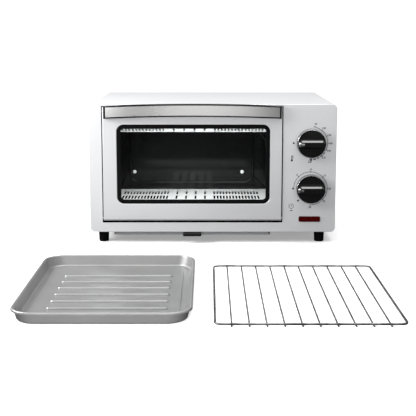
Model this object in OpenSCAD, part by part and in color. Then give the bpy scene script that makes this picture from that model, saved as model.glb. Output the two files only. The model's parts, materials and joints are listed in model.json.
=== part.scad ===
/* [Casing] */
// Width of the oven body
body_w = 370; // [360:1:380]
// Depth of the oven body
body_d = 256; // [250:1:270]
// Height of the oven body without its feet
body_h = 193.5; // [190:0.5:200]
// Height of the feet under the body
foot_h = 17.5; // [15:0.5:20]
// Radius of the cabinet's long upper corners
corner_r = 7; // [4:0.5:12]

/* [Door] */
// Width of the door
door_w = 268; // [266:0.5:270]
// Height of the door
door_h = 172; // [170:0.5:174]
// Thickness of the door
door_t = 18; // [14:0.5:18]
// Gap beside and above the door
door_gap = 1.7; // [1:0.1:2]
// Gap under the door, which its round lower edge needs as it swings
door_gap_low = 3; // [3:0.1:4]
// Width of the window in the door
window_w = 227; // [215:1:232]
// Height of the window in the door
window_h = 117.3; // [105:0.1:120]
// How far the handle bows out at its middle
handle_bow = 18; // [14:1:22]
// How far the handle arches up at its middle
handle_arch = 4.5; // [0:0.5:6]

/* [Controls] */
// Radius of a knob
knob_r = 21.7; // [18:0.1:23]
// Height of the thermostat knob's centre above the worktop
thermostat_z = 153; // [148:1:160]
// Height of the timer knob's centre above the worktop
timer_z = 84.3; // [78:0.1:90]

/* [Accessories] */
// Length of the baking tray
tray_l = 260; // [250:1:265]
// Width of the baking tray
tray_w = 204; // [190:1:206]
// Height of the baking tray
tray_h = 15; // [12:1:20]
// Length of the wire rack
rack_l = 249.8; // [240:0.2:256]
// Width of the wire rack
rack_w = 214; // [190:1:220]
// Number of bars in the wire rack
rack_bars = 10; // [8:1:12]

/* [Hidden] */

$fn = 48;
sheet = 1;
thin = 0.8;
eps = 0.01;

body_top = foot_h + body_h;
panel_t = 1.2;
rear_y = body_d - 3;
base_top = foot_h + 2*sheet;

door_x = -30.5;
door_left = door_x - door_w/2;
door_right = door_x + door_w/2;
door_z = 35;
door_top = door_z + door_h;
door_front = -2;
door_back = door_front + door_t;
door_edge_r = 3;
hinge_y = door_front + 6;
hinge_z = door_z + 3.5;
hinge_pin_r = 1.5;
running_fit = 0.05;
door_screw_xs = [door_left + 10, door_x, door_right - 10];
door_screw_zs = [door_z + 13, door_top - 10];

window_x = door_x + 1.5;
window_z = 121;
window_r = 9.5;
seal_w = 4.5;
pane_t = 3.5;
pane_y = 1;

handle_w = 264;
handle_x = -30;
handle_h = 18.6;
handle_z = 190.3;
handle_end_y = -9;
handle_rim = 2;
handle_screw_x = 118;
handle_foot = 17;
handle_finish = 2.5;
bow_r = (pow(handle_w/2, 2) + pow(handle_bow, 2))/(2*handle_bow);
inner_x = handle_w/2 - handle_foot;
inner_bow = handle_bow - handle_finish;
inner_r = (pow(inner_x, 2) + pow(inner_bow, 2))/(2*inner_bow);
arch_r = (pow(handle_w/2, 2) + pow(handle_arch, 2))/(2*handle_arch);

rebate_back = 18;
rebate_d = rebate_back + sheet;
opening_left = door_left - door_gap;
opening_right = door_right + door_gap;
opening_z = door_z - door_gap_low;
opening_top = door_top + door_gap;

cavity_w = 264;
cavity_left = door_x - cavity_w/2;
cavity_right = door_x + cavity_w/2;
cavity_back = 235;
cavity_top = 190;
mouth_z = 41;
ledge_w = 5;
ledge_h = 4;
ledge_levels = [82, 110];
bead_left = -143;
bead_right = 72;
bead_low = 54;
bead_high = 158;
bead_r = 14;
bead_half = 2.5;

guard_z = 43;
guard_front = 22;
guard_back = 231;
slot_w = 2.6;
slot_pitch = 5.25;
guard_mid_x = -36;
slope_front_y = 23;
slope_front_z = 176.5;
slope_back_y = 57;
slope_back_z = 163.5;

heater_r = 4;
lower_heater_z = 30.5;
lower_heater_ys = [72, 178];
upper_heater_z = 177;
upper_heater_ys = [95, 178];
insulator_r = 6;
heater_end = 9;

knob_x = 147;
knob_back = -1;
knob_t = 11;
grip_w = 12;
grip_out = 11;
grip_r = 5.9;
grip_hollow_r = 18;
grip_hollow_z = 22.5;
grip_step = 3;
trim_wall = 1.1;
trim_front = 0.4;
trim_in = knob_r - trim_wall;
knob_front = knob_back - knob_t;
shaft_r = 3;
shaft_flat = 2;
control_back = 30;

lead_xs = [141, 146, 151, 156];
lens_x = 146.2;
lens_z = 37.3;
lens_w = 32.5;
lens_h = 8.4;

foot_r = 8;
foot_tip_r = 7.2;
foot_left_x = -166.5;
foot_right_x = 163;
foot_front_y = 18;
foot_rear_y = 232;
foot_screw_z = 4.8;

crumb_x = -31;
crumb_w = 234;
crumb_front = 4;
crumb_back = 222;
crumb_z = 12.3;
crumb_h = 4.2;
tab_w = 27.6;
rail_foot = 6;
rail_z = 11;

tray_left = -228.3;
tray_back = -130.1;
tray_r = 24;
tray_t = 1.2;
rim_out = 2.4;
rack_left = -0.6;
rack_back = -143.2;
wire_r = 1.3;
bar_r = 0.9;
bar_tip = 0.8;
rack_r = 9;
weld = 0.25;

bottom_flange = 9;
side_vent_w = 4;
side_vent_h = 20;
side_vent_pitch = 11;
base_vent_w = 3;
rear_vent_w = 11;
rear_vent_h = 5;
tall_vent_w = 4;
cover_lip = 6;
cover_screw_xs = [-170, 0, 170];
cover_screw_zs = [27, 202];
back_screw_xs = [-136, 53];
back_screw_z = 73;
gland_x = 120;
gland_z = 45;
gland_out = 11;
gland_r = 6;
lead_bore_r = 3.6;

set_mid_x = (tray_left + rack_left + rack_w)/2;
set_mid_y = (rack_back - rack_l - bar_tip + rear_y + gland_out)/2;

// Moves the whole set so that the middle of its footprint is the origin
module placed() {
    translate([-set_mid_x, -set_mid_y, 0]) children();
}

// Flat rectangle with round corners, centred
module round_rect(w, h, r) {
    square([w - 2*r, h], center = true);
    square([w, h - 2*r], center = true);
    for (sx = [-1, 1], sy = [-1, 1])
        translate([sx*(w/2 - r), sy*(h/2 - r)]) circle(r = r);
}

// Stands a flat X-Z outline up and gives it a depth from y0 back to y1
module deep(y0, y1) {
    translate([0, y1, 0]) rotate([90, 0, 0]) linear_extrude(y1 - y0) children();
}

// Extrudes a Y-Z outline from x0 to x1
module wide(x0, x1) {
    translate([x0, 0, 0]) rotate([90, 0, 90]) linear_extrude(x1 - x0) children();
}

// Box between two corners
module block(a, b) {
    translate(a) cube(b - a);
}

// Cylinder along Y from y0 to y1
module rod_y(x, z, r, y0, y1) {
    translate([x, y1, z]) rotate([90, 0, 0]) cylinder(r = r, h = y1 - y0);
}

// Cylinder along X from x0 to x1
module rod_x(y, z, r, x0, x1) {
    translate([x0, y, z]) rotate([0, 90, 0]) cylinder(r = r, h = x1 - x0);
}

// Pan head screw whose head stands proud of y on the side that dir points to
module screw_y(x, z, y, dir, r = 1.5, l = 6) {
    rod_y(x, z, 2*r, min(y, y + dir*1.5), max(y, y + dir*1.5));
    rod_y(x, z, r, min(y, y - dir*l), max(y, y - dir*l));
}

// ---------- casing ----------

module body_outline(inset = 0) {
    translate([0, foot_h + body_h/2])
        round_rect(body_w - 2*inset, body_h - 2*inset, corner_r - inset);
}

// Upright slot through a side of the cabinet
module side_vent(x, y, z) {
    block([x - 5, y, z], [x + 5, y + side_vent_w, z + side_vent_h]);
}

module cabinet() {
    color("whitesmoke") difference() {
        deep(panel_t, body_d) difference() {
            body_outline();
            body_outline(sheet);
            translate([bottom_flange - body_w/2, foot_h - 1]) square([body_w - 2*bottom_flange, 3]);
        }
        for (row = [0:2], i = [0:7])
            side_vent(body_w/2, 60 + i*side_vent_pitch, 70 + row*34);
        for (i = [0:7])
            side_vent(-body_w/2, 60 + i*side_vent_pitch, 138);
    }
}

module base_plate() {
    color("silver") difference() {
        block([corner_r - body_w/2, 3, foot_h + sheet], [body_w/2 - corner_r, rear_y - 1, base_top]);
        block([crumb_x - 110, 30, 0], [crumb_x + 110, 214, 40]);
        for (x = [foot_left_x, foot_right_x], y = [foot_front_y, foot_rear_y])
            translate([x, y, 0]) cylinder(r = 2.1, h = 40);
        for (i = [0:5])
            block([112 + i*8, 90, 0], [112 + i*8 + base_vent_w, 130, 40]);
    }
}

// Rear cover seen from behind, half a millimetre inside the cabinet all round
module cover_outline(inset) {
    w = body_w - 2*sheet - 1;
    h = body_top - sheet - 0.5 - base_top;
    translate([0, base_top + h/2])
        round_rect(w - 2*inset, h - 2*inset, corner_r - sheet - 0.5 - inset);
}

module rear_cover() {
    color("gainsboro") difference() {
        deep(rear_y - cover_lip, rear_y) cover_outline(0);
        deep(rear_y - cover_lip - 1, rear_y - sheet) cover_outline(sheet);
        for (row = [0:1], i = [0:13])
            block([-150 + i*17, rear_y - 3, 150 + row*16],
                [-150 + i*17 + rear_vent_w, rear_y + 1, 150 + row*16 + rear_vent_h]);
        for (i = [0:5])
            block([112 + i*9, rear_y - 3, 120], [112 + i*9 + tall_vent_w, rear_y + 1, 160]);
        rod_y(gland_x, gland_z, gland_r, rear_y - 3, rear_y + 1);
        for (x = cover_screw_xs, z = cover_screw_zs)
            rod_y(x, z, 1.5, rear_y - 3, rear_y + 1);
    }
}

module cover_screws() {
    color("gray") for (x = cover_screw_xs, z = cover_screw_zs)
        screw_y(x, z, rear_y, 1);
}

module opening_outline(grow = 0) {
    translate([opening_left - grow, opening_z - grow])
        square([opening_right - opening_left + 2*grow, opening_top - opening_z + 2*grow]);
}

module front_panel() {
    color([0.8, 0.81, 0.82]) difference() {
        union() {
            deep(0, panel_t) body_outline();
            deep(panel_t - eps, rebate_d) opening_outline(sheet);
        }
        deep(-1, rebate_back) opening_outline();
        block([cavity_left, rebate_back - 1, mouth_z], [cavity_right, rebate_d + 1, cavity_top - 1]);
        for (z = [thermostat_z, timer_z]) rod_y(knob_x, z, 5, -1, 2);
        deep(-1, panel_t + 1) translate([lens_x, lens_z]) round_rect(lens_w, lens_h, 2);
        rod_x(hinge_y, hinge_z, hinge_pin_r + 0.7, opening_left - 3, opening_right + 3);
    }
}

module foot(x, y) {
    color([0.06, 0.06, 0.06]) translate([x, y, 0]) difference() {
        rotate_extrude() polygon([[0, 0], [foot_tip_r - 1, 0], [foot_tip_r, 1], [foot_r, foot_h - 3],
            [foot_r, foot_h + sheet], [0, foot_h + sheet]]);
        translate([0, 0, -1]) cylinder(r = 4.4, h = 8);
        cylinder(r = 2.1, h = 40);
    }
}

module foot_screws() {
    color("gray") for (x = [foot_left_x, foot_right_x], y = [foot_front_y, foot_rear_y])
        translate([x, y, foot_screw_z]) {
            cylinder(r = 3.8, h = 2.2);
            cylinder(r = 2, h = base_top - foot_screw_z);
        }
}

module cable_gland() {
    color([0.06, 0.06, 0.06]) difference() {
        union() {
            rod_y(gland_x, gland_z, gland_r + 3, rear_y, rear_y + 3);
            rod_y(gland_x, gland_z, gland_r, rear_y - 6, rear_y + gland_out);
            rod_y(gland_x, gland_z, gland_r + 2, rear_y - 6, rear_y - 1);
        }
        rod_y(gland_x, gland_z, lead_bore_r, rear_y - 10, rear_y + gland_out + 5);
    }
}

// ---------- cavity ----------

module side_wall(x, dir) {
    color([0.2, 0.2, 0.21]) difference() {
        union() {
            block([min(x, x - dir*thin), rebate_d, base_top],
                [max(x, x - dir*thin), cavity_back, cavity_top]);
            for (z = ledge_levels)
                block([min(x, x + dir*ledge_w), 26, z],
                    [max(x, x + dir*ledge_w), cavity_back - 6, z + ledge_h]);
        }
        for (y = lower_heater_ys) rod_x(y, lower_heater_z, insulator_r, x - 3, x + 3);
        for (y = upper_heater_ys) rod_x(y, upper_heater_z, insulator_r, x - 3, x + 3);
    }
}

module cavity_left_wall() {
    side_wall(cavity_left, 1);
}

module cavity_right_wall() {
    side_wall(cavity_right, -1);
}

module bead_outline(grow) {
    translate([(bead_left + bead_right)/2, (bead_low + bead_high)/2])
        round_rect(bead_right - bead_left + 2*grow, bead_high - bead_low + 2*grow, bead_r + grow);
}

module cavity_back_wall() {
    color([0.05, 0.05, 0.05]) difference() {
        union() {
            block([cavity_left - thin, cavity_back, base_top],
                [cavity_right + thin, cavity_back + thin, cavity_top]);
            deep(cavity_back - bead_half, cavity_back + eps) difference() {
                bead_outline(bead_half);
                bead_outline(-bead_half);
            }
        }
        for (x = back_screw_xs) rod_y(x, back_screw_z, 1.5, cavity_back - 5, cavity_back + 5);
    }
}

module cavity_roof() {
    color([0.04, 0.04, 0.04])
        block([cavity_left - thin, rebate_d, cavity_top],
            [cavity_right + thin, cavity_back + thin, cavity_top + thin]);
}

module back_wall_screws() {
    color("silver") for (x = back_screw_xs)
        screw_y(x, back_screw_z, cavity_back, -1);
}

// Slots across the guard: four wide-spaced ones in the middle, close rows to both sides
function slot_xs() = concat(
    [for (i = [-1.5:1:1.5]) guard_mid_x + i*15.9],
    [for (s = [-1, 1], i = [0:14]) guard_mid_x + s*(15.9*1.5 + 15.9 + i*slot_pitch)]);

module lower_guard() {
    color([0.85, 0.85, 0.86]) difference() {
        block([cavity_left + 0.5, guard_front, guard_z - 6], [cavity_right - 0.5, guard_back, guard_z]);
        block([cavity_left + 1.5, guard_front + sheet, guard_z - 7],
            [cavity_right - 1.5, guard_back - sheet, guard_z - sheet]);
        for (x = slot_xs(), y = [48, 92, 136, 180])
            if (x > cavity_left + 10 && x < cavity_right - 10)
                block([x - slot_w/2, y, guard_z - 2], [x + slot_w/2, y + 34, guard_z + 1]);
    }
}

module upper_guard() {
    rise = slope_front_z - slope_back_z;
    color([0.8, 0.8, 0.81]) difference() {
        wide(cavity_left + 0.5, cavity_right - 0.5) polygon([
            [slope_front_y, slope_front_z], [slope_back_y, slope_back_z],
            [guard_back, slope_back_z], [guard_back, slope_back_z + 1],
            [slope_back_y + 0.3, slope_back_z + 1], [slope_front_y, slope_front_z + 1.1]]);
        for (x = slot_xs()) {
            block([x - slot_w/2, slope_front_y + 6, slope_back_z - 1],
                [x + slot_w/2, slope_back_y - 2, slope_front_z + 2]);
            for (y = [70, 122, 174])
                block([x - slot_w/2, y, slope_back_z - 1], [x + slot_w/2, y + 42, slope_back_z + 2]);
        }
    }
}

module heater_pair(ys, z) {
    for (y = ys) {
        rod_x(y, z, heater_r, cavity_left - heater_end, cavity_right + heater_end);
        rod_x(y, z, 1.6, cavity_left - heater_end - 5, cavity_left - heater_end);
        rod_x(y, z, 1.6, cavity_right + heater_end, cavity_right + heater_end + 5);
    }
}

module lower_heaters() {
    color([0.35, 0.35, 0.34]) heater_pair(lower_heater_ys, lower_heater_z);
}

module upper_heaters() {
    color([0.35, 0.35, 0.34]) heater_pair(upper_heater_ys, upper_heater_z);
}

module insulator_row(ys, z) {
    for (y = ys, x = [cavity_left - 6, cavity_right - 1])
        difference() {
            rod_x(y, z, insulator_r, x, x + 7);
            rod_x(y, z, heater_r, x - 1, x + 8);
        }
}

module heater_insulators() {
    color("ivory") {
        insulator_row(lower_heater_ys, lower_heater_z);
        insulator_row(upper_heater_ys, upper_heater_z);
    }
}

module heat_shield() {
    shield_x = 121.5;
    color("silver") difference() {
        block([shield_x, 34, base_top], [shield_x + thin, rear_y - 12, cavity_top + 8]);
        for (i = [0:9]) block([shield_x - 1, 70 + i*14, 150], [shield_x + 2, 76 + i*14, 180]);
        block([shield_x - 1, rear_y - 40, base_top - 1], [shield_x + 2, rear_y - 20, base_top + 20]);
    }
}

// ---------- hinge ----------

module hinge_bracket(x0, x1) {
    color("silver") difference() {
        union() {
            block([x0, hinge_y, base_top], [x1, rebate_d - 1, hinge_z + 12]);
            rod_x(hinge_y, hinge_z, 4, x0, x1);
        }
        rod_x(hinge_y, hinge_z, hinge_pin_r + running_fit, x0 - 1, x1 + 1);
        block([x0 - 1, -9, 0], [x1 + 1, panel_t, hinge_z + 20]);
    }
}

module hinge_bracket_left() {
    hinge_bracket(opening_left - sheet - 3, opening_left - sheet);
}

module hinge_bracket_right() {
    hinge_bracket(opening_right + sheet, opening_right + sheet + 3);
}

// Pin into the door, with an arm outside the bracket that points back to the spring
module hinge_arm(door_end, arm_x, dir) {
    arm_l = 19;
    a = min(arm_x, arm_x + dir*2);
    b = max(arm_x, arm_x + dir*2);
    color("silver") difference() {
        union() {
            rod_x(hinge_y, hinge_z, hinge_pin_r, min(door_end, a), max(door_end, b));
            rod_x(hinge_y, hinge_z, 2.6, a, b);
            block([a, hinge_y, hinge_z - 2.6], [b, hinge_y + arm_l, hinge_z + 2.6]);
            rod_x(hinge_y + arm_l, hinge_z, 2.6, a, b);
        }
        rod_x(hinge_y + arm_l, hinge_z, 1.3, a - 1, b + 1);
    }
}

module hinge_arm_left() {
    hinge_arm(door_left + 3, opening_left - sheet - 3.4, -1);
}

module hinge_arm_right() {
    hinge_arm(door_right - 3, opening_right + sheet + 3.4, 1);
}

// Coil spring that runs back from beside the arm to a hook on the base
module door_spring(x) {
    turns = 12;
    coil_r = 2.9;
    wire = 1;
    y0 = hinge_y + 25;
    y1 = y0 + turns*2*wire;
    color("dimgray") {
        for (i = [0:turns - 1])
            translate([x, y0 + i*2*wire, hinge_z]) rotate([90, 0, 0])
                rotate_extrude() translate([coil_r, 0]) circle(r = wire*1.04, $fn = 16);
        rod_y(x, hinge_z + coil_r, 0.6, y0 - 3, y1 + 12);
        block([x - 1, y1 + 10, base_top], [x + 1, y1 + 12, hinge_z + coil_r + 1]);
    }
}

module door_spring_left() {
    door_spring(opening_left - sheet - 9.4);
}

module door_spring_right() {
    door_spring(opening_right + sheet + 9.6);
}

// ---------- controls ----------

module control_body(z, r) {
    color("gainsboro") difference() {
        union() {
            rod_y(knob_x, z, r, 5, control_back);
            block([knob_x - 20, panel_t, z - 6], [knob_x + 20, panel_t + 1.6, z + 6]);
            rod_y(knob_x, z, 4.9, 0.4, 6);
        }
        rod_y(knob_x, z, shaft_r + running_fit, -1, control_back - 6);
    }
}

module thermostat_body() {
    control_body(thermostat_z, 16);
    color("ivory") block([knob_x - 8, control_back, thermostat_z - 12],
        [knob_x + 8, control_back + 14, thermostat_z + 12]);
}

module timer_body() {
    control_body(timer_z, 19);
}

module timer_bell() {
    color("silver") translate([knob_x, control_back, timer_z]) rotate([-90, 0, 0]) difference() {
        union() {
            cylinder(r = 3, h = 12);
            translate([0, 0, 4]) cylinder(r = 13, h = 8);
        }
        translate([0, 0, 3]) difference() {
            cylinder(r = 12, h = 8);
            translate([0, 0, -1]) cylinder(r = 3, h = 12);
        }
    }
}

module control_shaft(z) {
    color("silver") difference() {
        rod_y(knob_x, z, shaft_r, knob_back - 9, control_back - 7);
        block([knob_x - 5, knob_back - 10, z + shaft_flat], [knob_x + 5, knob_back - 2, z + 5]);
    }
}

module thermostat_shaft() {
    control_shaft(thermostat_z);
}

module timer_shaft() {
    control_shaft(timer_z);
}

// The grip bar lies level, pointing to the off mark at nine o'clock
module knob(z) {
    color([0.03, 0.03, 0.03]) difference() {
        union() {
            translate([knob_x, knob_back, z]) rotate([90, 0, 0]) rotate_extrude()
                polygon([[0, 0], [knob_r - 0.4, 0], [knob_r, 1], [knob_r - 0.4, knob_t - 2.5],
                    [trim_in, knob_t - 2.5], [trim_in, knob_t], [0, knob_t]]);
            difference() {
                deep(knob_front - grip_out, knob_front + eps) translate([knob_x, z])
                    round_rect(2*trim_in - 1.2, grip_w, grip_r);
                for (s = [-1, 1])
                    rod_y(knob_x, z + s*grip_hollow_z, grip_hollow_r, knob_front - grip_out - 1,
                        knob_front - grip_step);
            }
        }
        difference() {
            rod_y(knob_x, z, shaft_r, knob_back - 9, knob_back + 1);
            block([knob_x - 5, knob_back - 10, z + shaft_flat], [knob_x + 5, knob_back - 2, z + 5]);
        }
    }
}

module knob_trim(z) {
    color("silver") translate([knob_x, knob_front - trim_front, z]) rotate([-90, 0, 0]) difference() {
        cylinder(r = knob_r - 0.2, h = trim_front + 2.5);
        translate([0, 0, -1]) cylinder(r = trim_in, h = 5);
    }
}

module indicator_lens() {
    color([0.5, 0.02, 0.03]) {
        deep(-1.5, 3) translate([lens_x, lens_z]) round_rect(lens_w - 0.4, lens_h - 0.4, 1.8);
        deep(panel_t, 3) translate([lens_x, lens_z]) round_rect(lens_w + 3, lens_h + 3, 2);
    }
}

module indicator_lamp() {
    color("orange") {
        rod_x(6.2, lens_z, 3, lens_x - 9, lens_x + 9);
        rod_x(6.2, lens_z, 0.5, lens_x + 9, lens_x + 14);
    }
}

module terminal_block() {
    color("ivory") difference() {
        block([136, 205, base_top], [162, 225, base_top + 14]);
        for (x = lead_xs) translate([x, 215, base_top + 6]) cylinder(r = 1.8, h = 20);
    }
}

// Insulated lead: up out of the terminal block, forward, up and into the back of a control
module lead(x, bend_z, bend_y, end_y, end_z) {
    r = 1.2;
    start_z = base_top + 7;
    translate([x, 215, start_z]) cylinder(r = r, h = bend_z - start_z);
    rod_y(x, bend_z, r, bend_y, 215);
    translate([x, bend_y, bend_z]) cylinder(r = r, h = end_z - bend_z);
    rod_y(x, end_z, r, end_y, bend_y);
    for (p = [[215, bend_z], [bend_y, bend_z], [bend_y, end_z]])
        translate([x, p[0], p[1]]) sphere(r = r);
}

module wiring() {
    color("firebrick") {
        for (i = [0:1]) lead(lead_xs[i], 44 + 4*i, 66 + 4*i, control_back + 14, thermostat_z - 8);
        for (i = [2:3]) lead(lead_xs[i], 44 + 4*i, 50 + 4*i, control_back, timer_z - 16);
    }
}

// ---------- crumb tray ----------

module crumb_rail(x, dir) {
    top = foot_h + sheet;
    color("silver") {
        block([min(x, x + dir), 12, rail_z], [max(x, x + dir), 226, top]);
        block([min(x, x - dir*rail_foot), 12, rail_z], [max(x, x - dir*rail_foot), 226, rail_z + sheet]);
        block([min(x, x + dir*8), 12, top - sheet], [max(x, x + dir*8), 226, top]);
    }
}

module crumb_rail_left() {
    crumb_rail(crumb_x - crumb_w/2 - 1, -1);
}

module crumb_rail_right() {
    crumb_rail(crumb_x + crumb_w/2 + 1, 1);
}

module crumb_tray() {
    l = crumb_x - crumb_w/2;
    r = crumb_x + crumb_w/2;
    color("silver") difference() {
        block([l, crumb_front, crumb_z], [r, crumb_back, crumb_z + crumb_h]);
        block([l + thin, crumb_front + thin, crumb_z + thin], [r - thin, crumb_back - thin, crumb_z + 10]);
    }
}

module crumb_tray_tab() {
    color([0.04, 0.04, 0.04]) block([crumb_x - tab_w/2, -6, crumb_z - 0.4],
        [crumb_x + tab_w/2, crumb_front, crumb_z + crumb_h]);
}

// ---------- door ----------

// Side view of the door: round edge at the bottom front, small round at the top front
module door_side(inset) {
    r = door_edge_r - inset;
    f = door_front + inset;
    b = door_back + eps;
    t = door_top - inset;
    z = door_z + inset;
    translate([f + r, z + r]) circle(r = r);
    translate([f, z + r]) square([b - f, t - z - r]);
    translate([f + r, z]) square([b - f - r, r + eps]);
}

module window_outline(grow = 0) {
    translate([window_x, window_z])
        round_rect(window_w + 2*grow, window_h + 2*grow, window_r + grow);
}

module door_frame() {
    color([0.82, 0.83, 0.84]) difference() {
        wide(door_left, door_right) door_side(0);
        wide(door_left + sheet, door_right - sheet) door_side(sheet);
        deep(door_front - 1, door_front + 3) window_outline();
        block([door_left - 1, door_back, door_z - 1], [door_right + 1, door_back + 1, door_top + 1]);
        for (s = [-1, 1]) rod_y(handle_x + s*handle_screw_x, handle_z + handle_h/2, 2, -4, 2);
        rod_x(hinge_y, hinge_z, hinge_pin_r, door_left - 1, door_left + 2);
        rod_x(hinge_y, hinge_z, hinge_pin_r, door_right - 2, door_right + 1);
    }
}

module window_seal() {
    color([0.02, 0.02, 0.02]) difference() {
        union() {
            deep(door_front + 0.2, pane_y) window_outline(-0.05);
            deep(door_front + sheet, pane_y) window_outline(4);
        }
        deep(door_front - 1, pane_y + 1) window_outline(-seal_w);
    }
}

module door_glass() {
    color([0.6, 0.65, 0.65, 0.35]) deep(pane_y, pane_y + pane_t) window_outline(4);
}

module door_inner_panel() {
    color("silver") difference() {
        union() {
            block([door_left + sheet, door_back - sheet, door_z + 4],
                [door_right - sheet, door_back, door_top - 4]);
            deep(pane_y + pane_t, door_back) window_outline(1);
            deep(pane_y + pane_t, pane_y + pane_t + sheet) window_outline(6);
        }
        deep(pane_y, door_back + 1) window_outline(0);
        for (x = door_screw_xs, z = door_screw_zs) rod_y(x, z, 1.4, door_back - 3, door_back + 1);
    }
}

module door_screws() {
    color("gray") for (x = door_screw_xs, z = door_screw_zs)
        screw_y(x, z, door_back, 1, 1.4, 5);
}

// Disc whose front edge is the handle's bow, seen from above
module bow_disc(inset, z0, z1) {
    translate([handle_x, handle_end_y - handle_bow + bow_r, z0])
        cylinder(r = bow_r - inset, h = z1 - z0, $fn = 400);
}

// Front view of the handle: a bar that arches up in the middle
module arch_outline(inset_x, inset_z) {
    w = handle_w - 2*inset_x;
    difference() {
        translate([handle_x - w/2, handle_z]) square([w, handle_h + handle_arch + 5]);
        translate([handle_x, handle_z + handle_arch - arch_r + inset_z]) circle(r = arch_r, $fn = 400);
        difference() {
            translate([handle_x - w/2 - 1, handle_z + handle_h/2]) square([w + 2, handle_h + 20]);
            translate([handle_x, handle_z + handle_h + handle_arch - arch_r - inset_z])
                circle(r = arch_r, $fn = 400);
        }
    }
}

module handle_body() {
    z0 = handle_z - 5;
    z1 = handle_z + handle_h + 10;
    color([0.03, 0.03, 0.03]) difference() {
        intersection() {
            deep(-40, door_front) arch_outline(0, 0);
            bow_disc(0, z0, z1);
        }
        translate([handle_x, door_front - inner_bow + inner_r, z0])
            cylinder(r = inner_r, h = z1 - z0, $fn = 400);
        difference() {
            deep(-41, 0) arch_outline(2.7, handle_rim);
            bow_disc(1, z0, z1);
        }
        for (s = [-1, 1]) rod_y(handle_x + s*handle_screw_x, handle_z + handle_h/2, 1.5, -6, 0);
    }
}

module handle_plate() {
    z0 = handle_z - 5;
    z1 = handle_z + handle_h + 10;
    color([0.75, 0.75, 0.76]) difference() {
        intersection() {
            deep(-41, 0) arch_outline(2.75, handle_rim + 0.05);
            bow_disc(0.2, z0, z1);
        }
        bow_disc(1, z0 - 1, z1 + 1);
    }
}

module handle_screws() {
    color("gray") for (s = [-1, 1])
        screw_y(handle_x + s*handle_screw_x, handle_z + handle_h/2, door_front + sheet, 1, 1.5, 4.5);
}

// ---------- accessories ----------

// Places an X-Y outline of the tray, centred, and gives it a height
module tray_layer(grow, z0, z1) {
    translate([tray_left + tray_w/2, tray_back - tray_l/2, z0]) linear_extrude(z1 - z0)
        round_rect(tray_w - 2*rim_out + 2*grow, tray_l - 2*rim_out + 2*grow, tray_r + grow);
}

module baking_tray() {
    rib_pitch = 27.84;
    color([0.62, 0.62, 0.62]) {
        difference() {
            union() {
                tray_layer(0, 0, tray_h);
                tray_layer(rim_out, tray_h - 3, tray_h);
            }
            tray_layer(-tray_t, tray_t, tray_h + 1);
            tray_layer(rim_out - 1, tray_h - 4, tray_h - 1);
        }
        difference() {
            union() {
                tray_layer(0, tray_h - 4.5, tray_h - 0.5);
            }
            tray_layer(-tray_t, 0, tray_h + 1);
        }
        for (i = [0:5])
            intersection() {
                rod_x(tray_back - 64.2 - i*rib_pitch, -2.6, 5.6, tray_left + 34, tray_left + tray_w - 29.2);
                tray_layer(0, 0.2, tray_h);
            }
    }
}

module rack_frame() {
    w = rack_w - 2*wire_r;
    l = rack_l - 2*wire_r;
    r = rack_r - wire_r;
    z = 2*bar_r + wire_r - weld;
    color([0.4, 0.4, 0.41]) translate([rack_left + rack_w/2, rack_back - rack_l/2, z]) {
        for (s = [-1, 1]) {
            translate([s*w/2, 0, 0]) rotate([90, 0, 0]) cylinder(r = wire_r, h = l - 2*r, center = true);
            translate([0, s*l/2, 0]) rotate([0, 90, 0]) cylinder(r = wire_r, h = w - 2*r, center = true);
        }
        for (c = [[1, 1, 0], [-1, 1, 90], [-1, -1, 180], [1, -1, 270]])
            translate([c[0]*(w/2 - r), c[1]*(l/2 - r), 0]) rotate([0, 0, c[2]])
                rotate_extrude(angle = 90) translate([r, 0]) circle(r = wire_r);
    }
}

// The bars are welded on under the frame, and their tips show past it
module rack_bars() {
    color([0.4, 0.4, 0.41]) for (i = [0:rack_bars - 1])
        rod_y(rack_left + rack_w/2 + (i - (rack_bars - 1)/2)*rack_w/(rack_bars + 1), bar_r, bar_r,
            rack_back - rack_l - bar_tip, rack_back + bar_tip);
}

placed() cabinet();
placed() base_plate();
placed() rear_cover();
placed() cover_screws();
placed() front_panel();
placed() foot(foot_left_x, foot_front_y);  // foot_front_left
placed() foot(foot_right_x, foot_front_y);  // foot_front_right
placed() foot(foot_left_x, foot_rear_y);  // foot_rear_left
placed() foot(foot_right_x, foot_rear_y);  // foot_rear_right
placed() foot_screws();
placed() cable_gland();
placed() cavity_left_wall();
placed() cavity_right_wall();
placed() cavity_back_wall();
placed() cavity_roof();
placed() back_wall_screws();
placed() lower_guard();
placed() upper_guard();
placed() lower_heaters();
placed() upper_heaters();
placed() heater_insulators();
placed() heat_shield();
placed() hinge_bracket_left();
placed() hinge_bracket_right();
placed() door_spring_left();
placed() door_spring_right();
placed() thermostat_body();
placed() timer_body();
placed() timer_bell();
placed() indicator_lens();
placed() indicator_lamp();
placed() terminal_block();
placed() wiring();
placed() crumb_rail_left();
placed() crumb_rail_right();
placed() door_frame();
placed() window_seal();
placed() door_glass();
placed() door_inner_panel();
placed() door_screws();
placed() handle_body();
placed() handle_plate();
placed() handle_screws();
placed() hinge_arm_left();
placed() hinge_arm_right();
placed() knob(thermostat_z);  // thermostat_knob
placed() knob_trim(thermostat_z);  // thermostat_knob_trim
placed() thermostat_shaft();
placed() knob(timer_z);  // timer_knob
placed() knob_trim(timer_z);  // timer_knob_trim
placed() timer_shaft();
placed() crumb_tray();
placed() crumb_tray_tab();
placed() baking_tray();
placed() rack_frame();
placed() rack_bars();
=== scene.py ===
"""Compact toaster oven with its baking tray and wire rack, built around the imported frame."""

import json
import math

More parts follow.
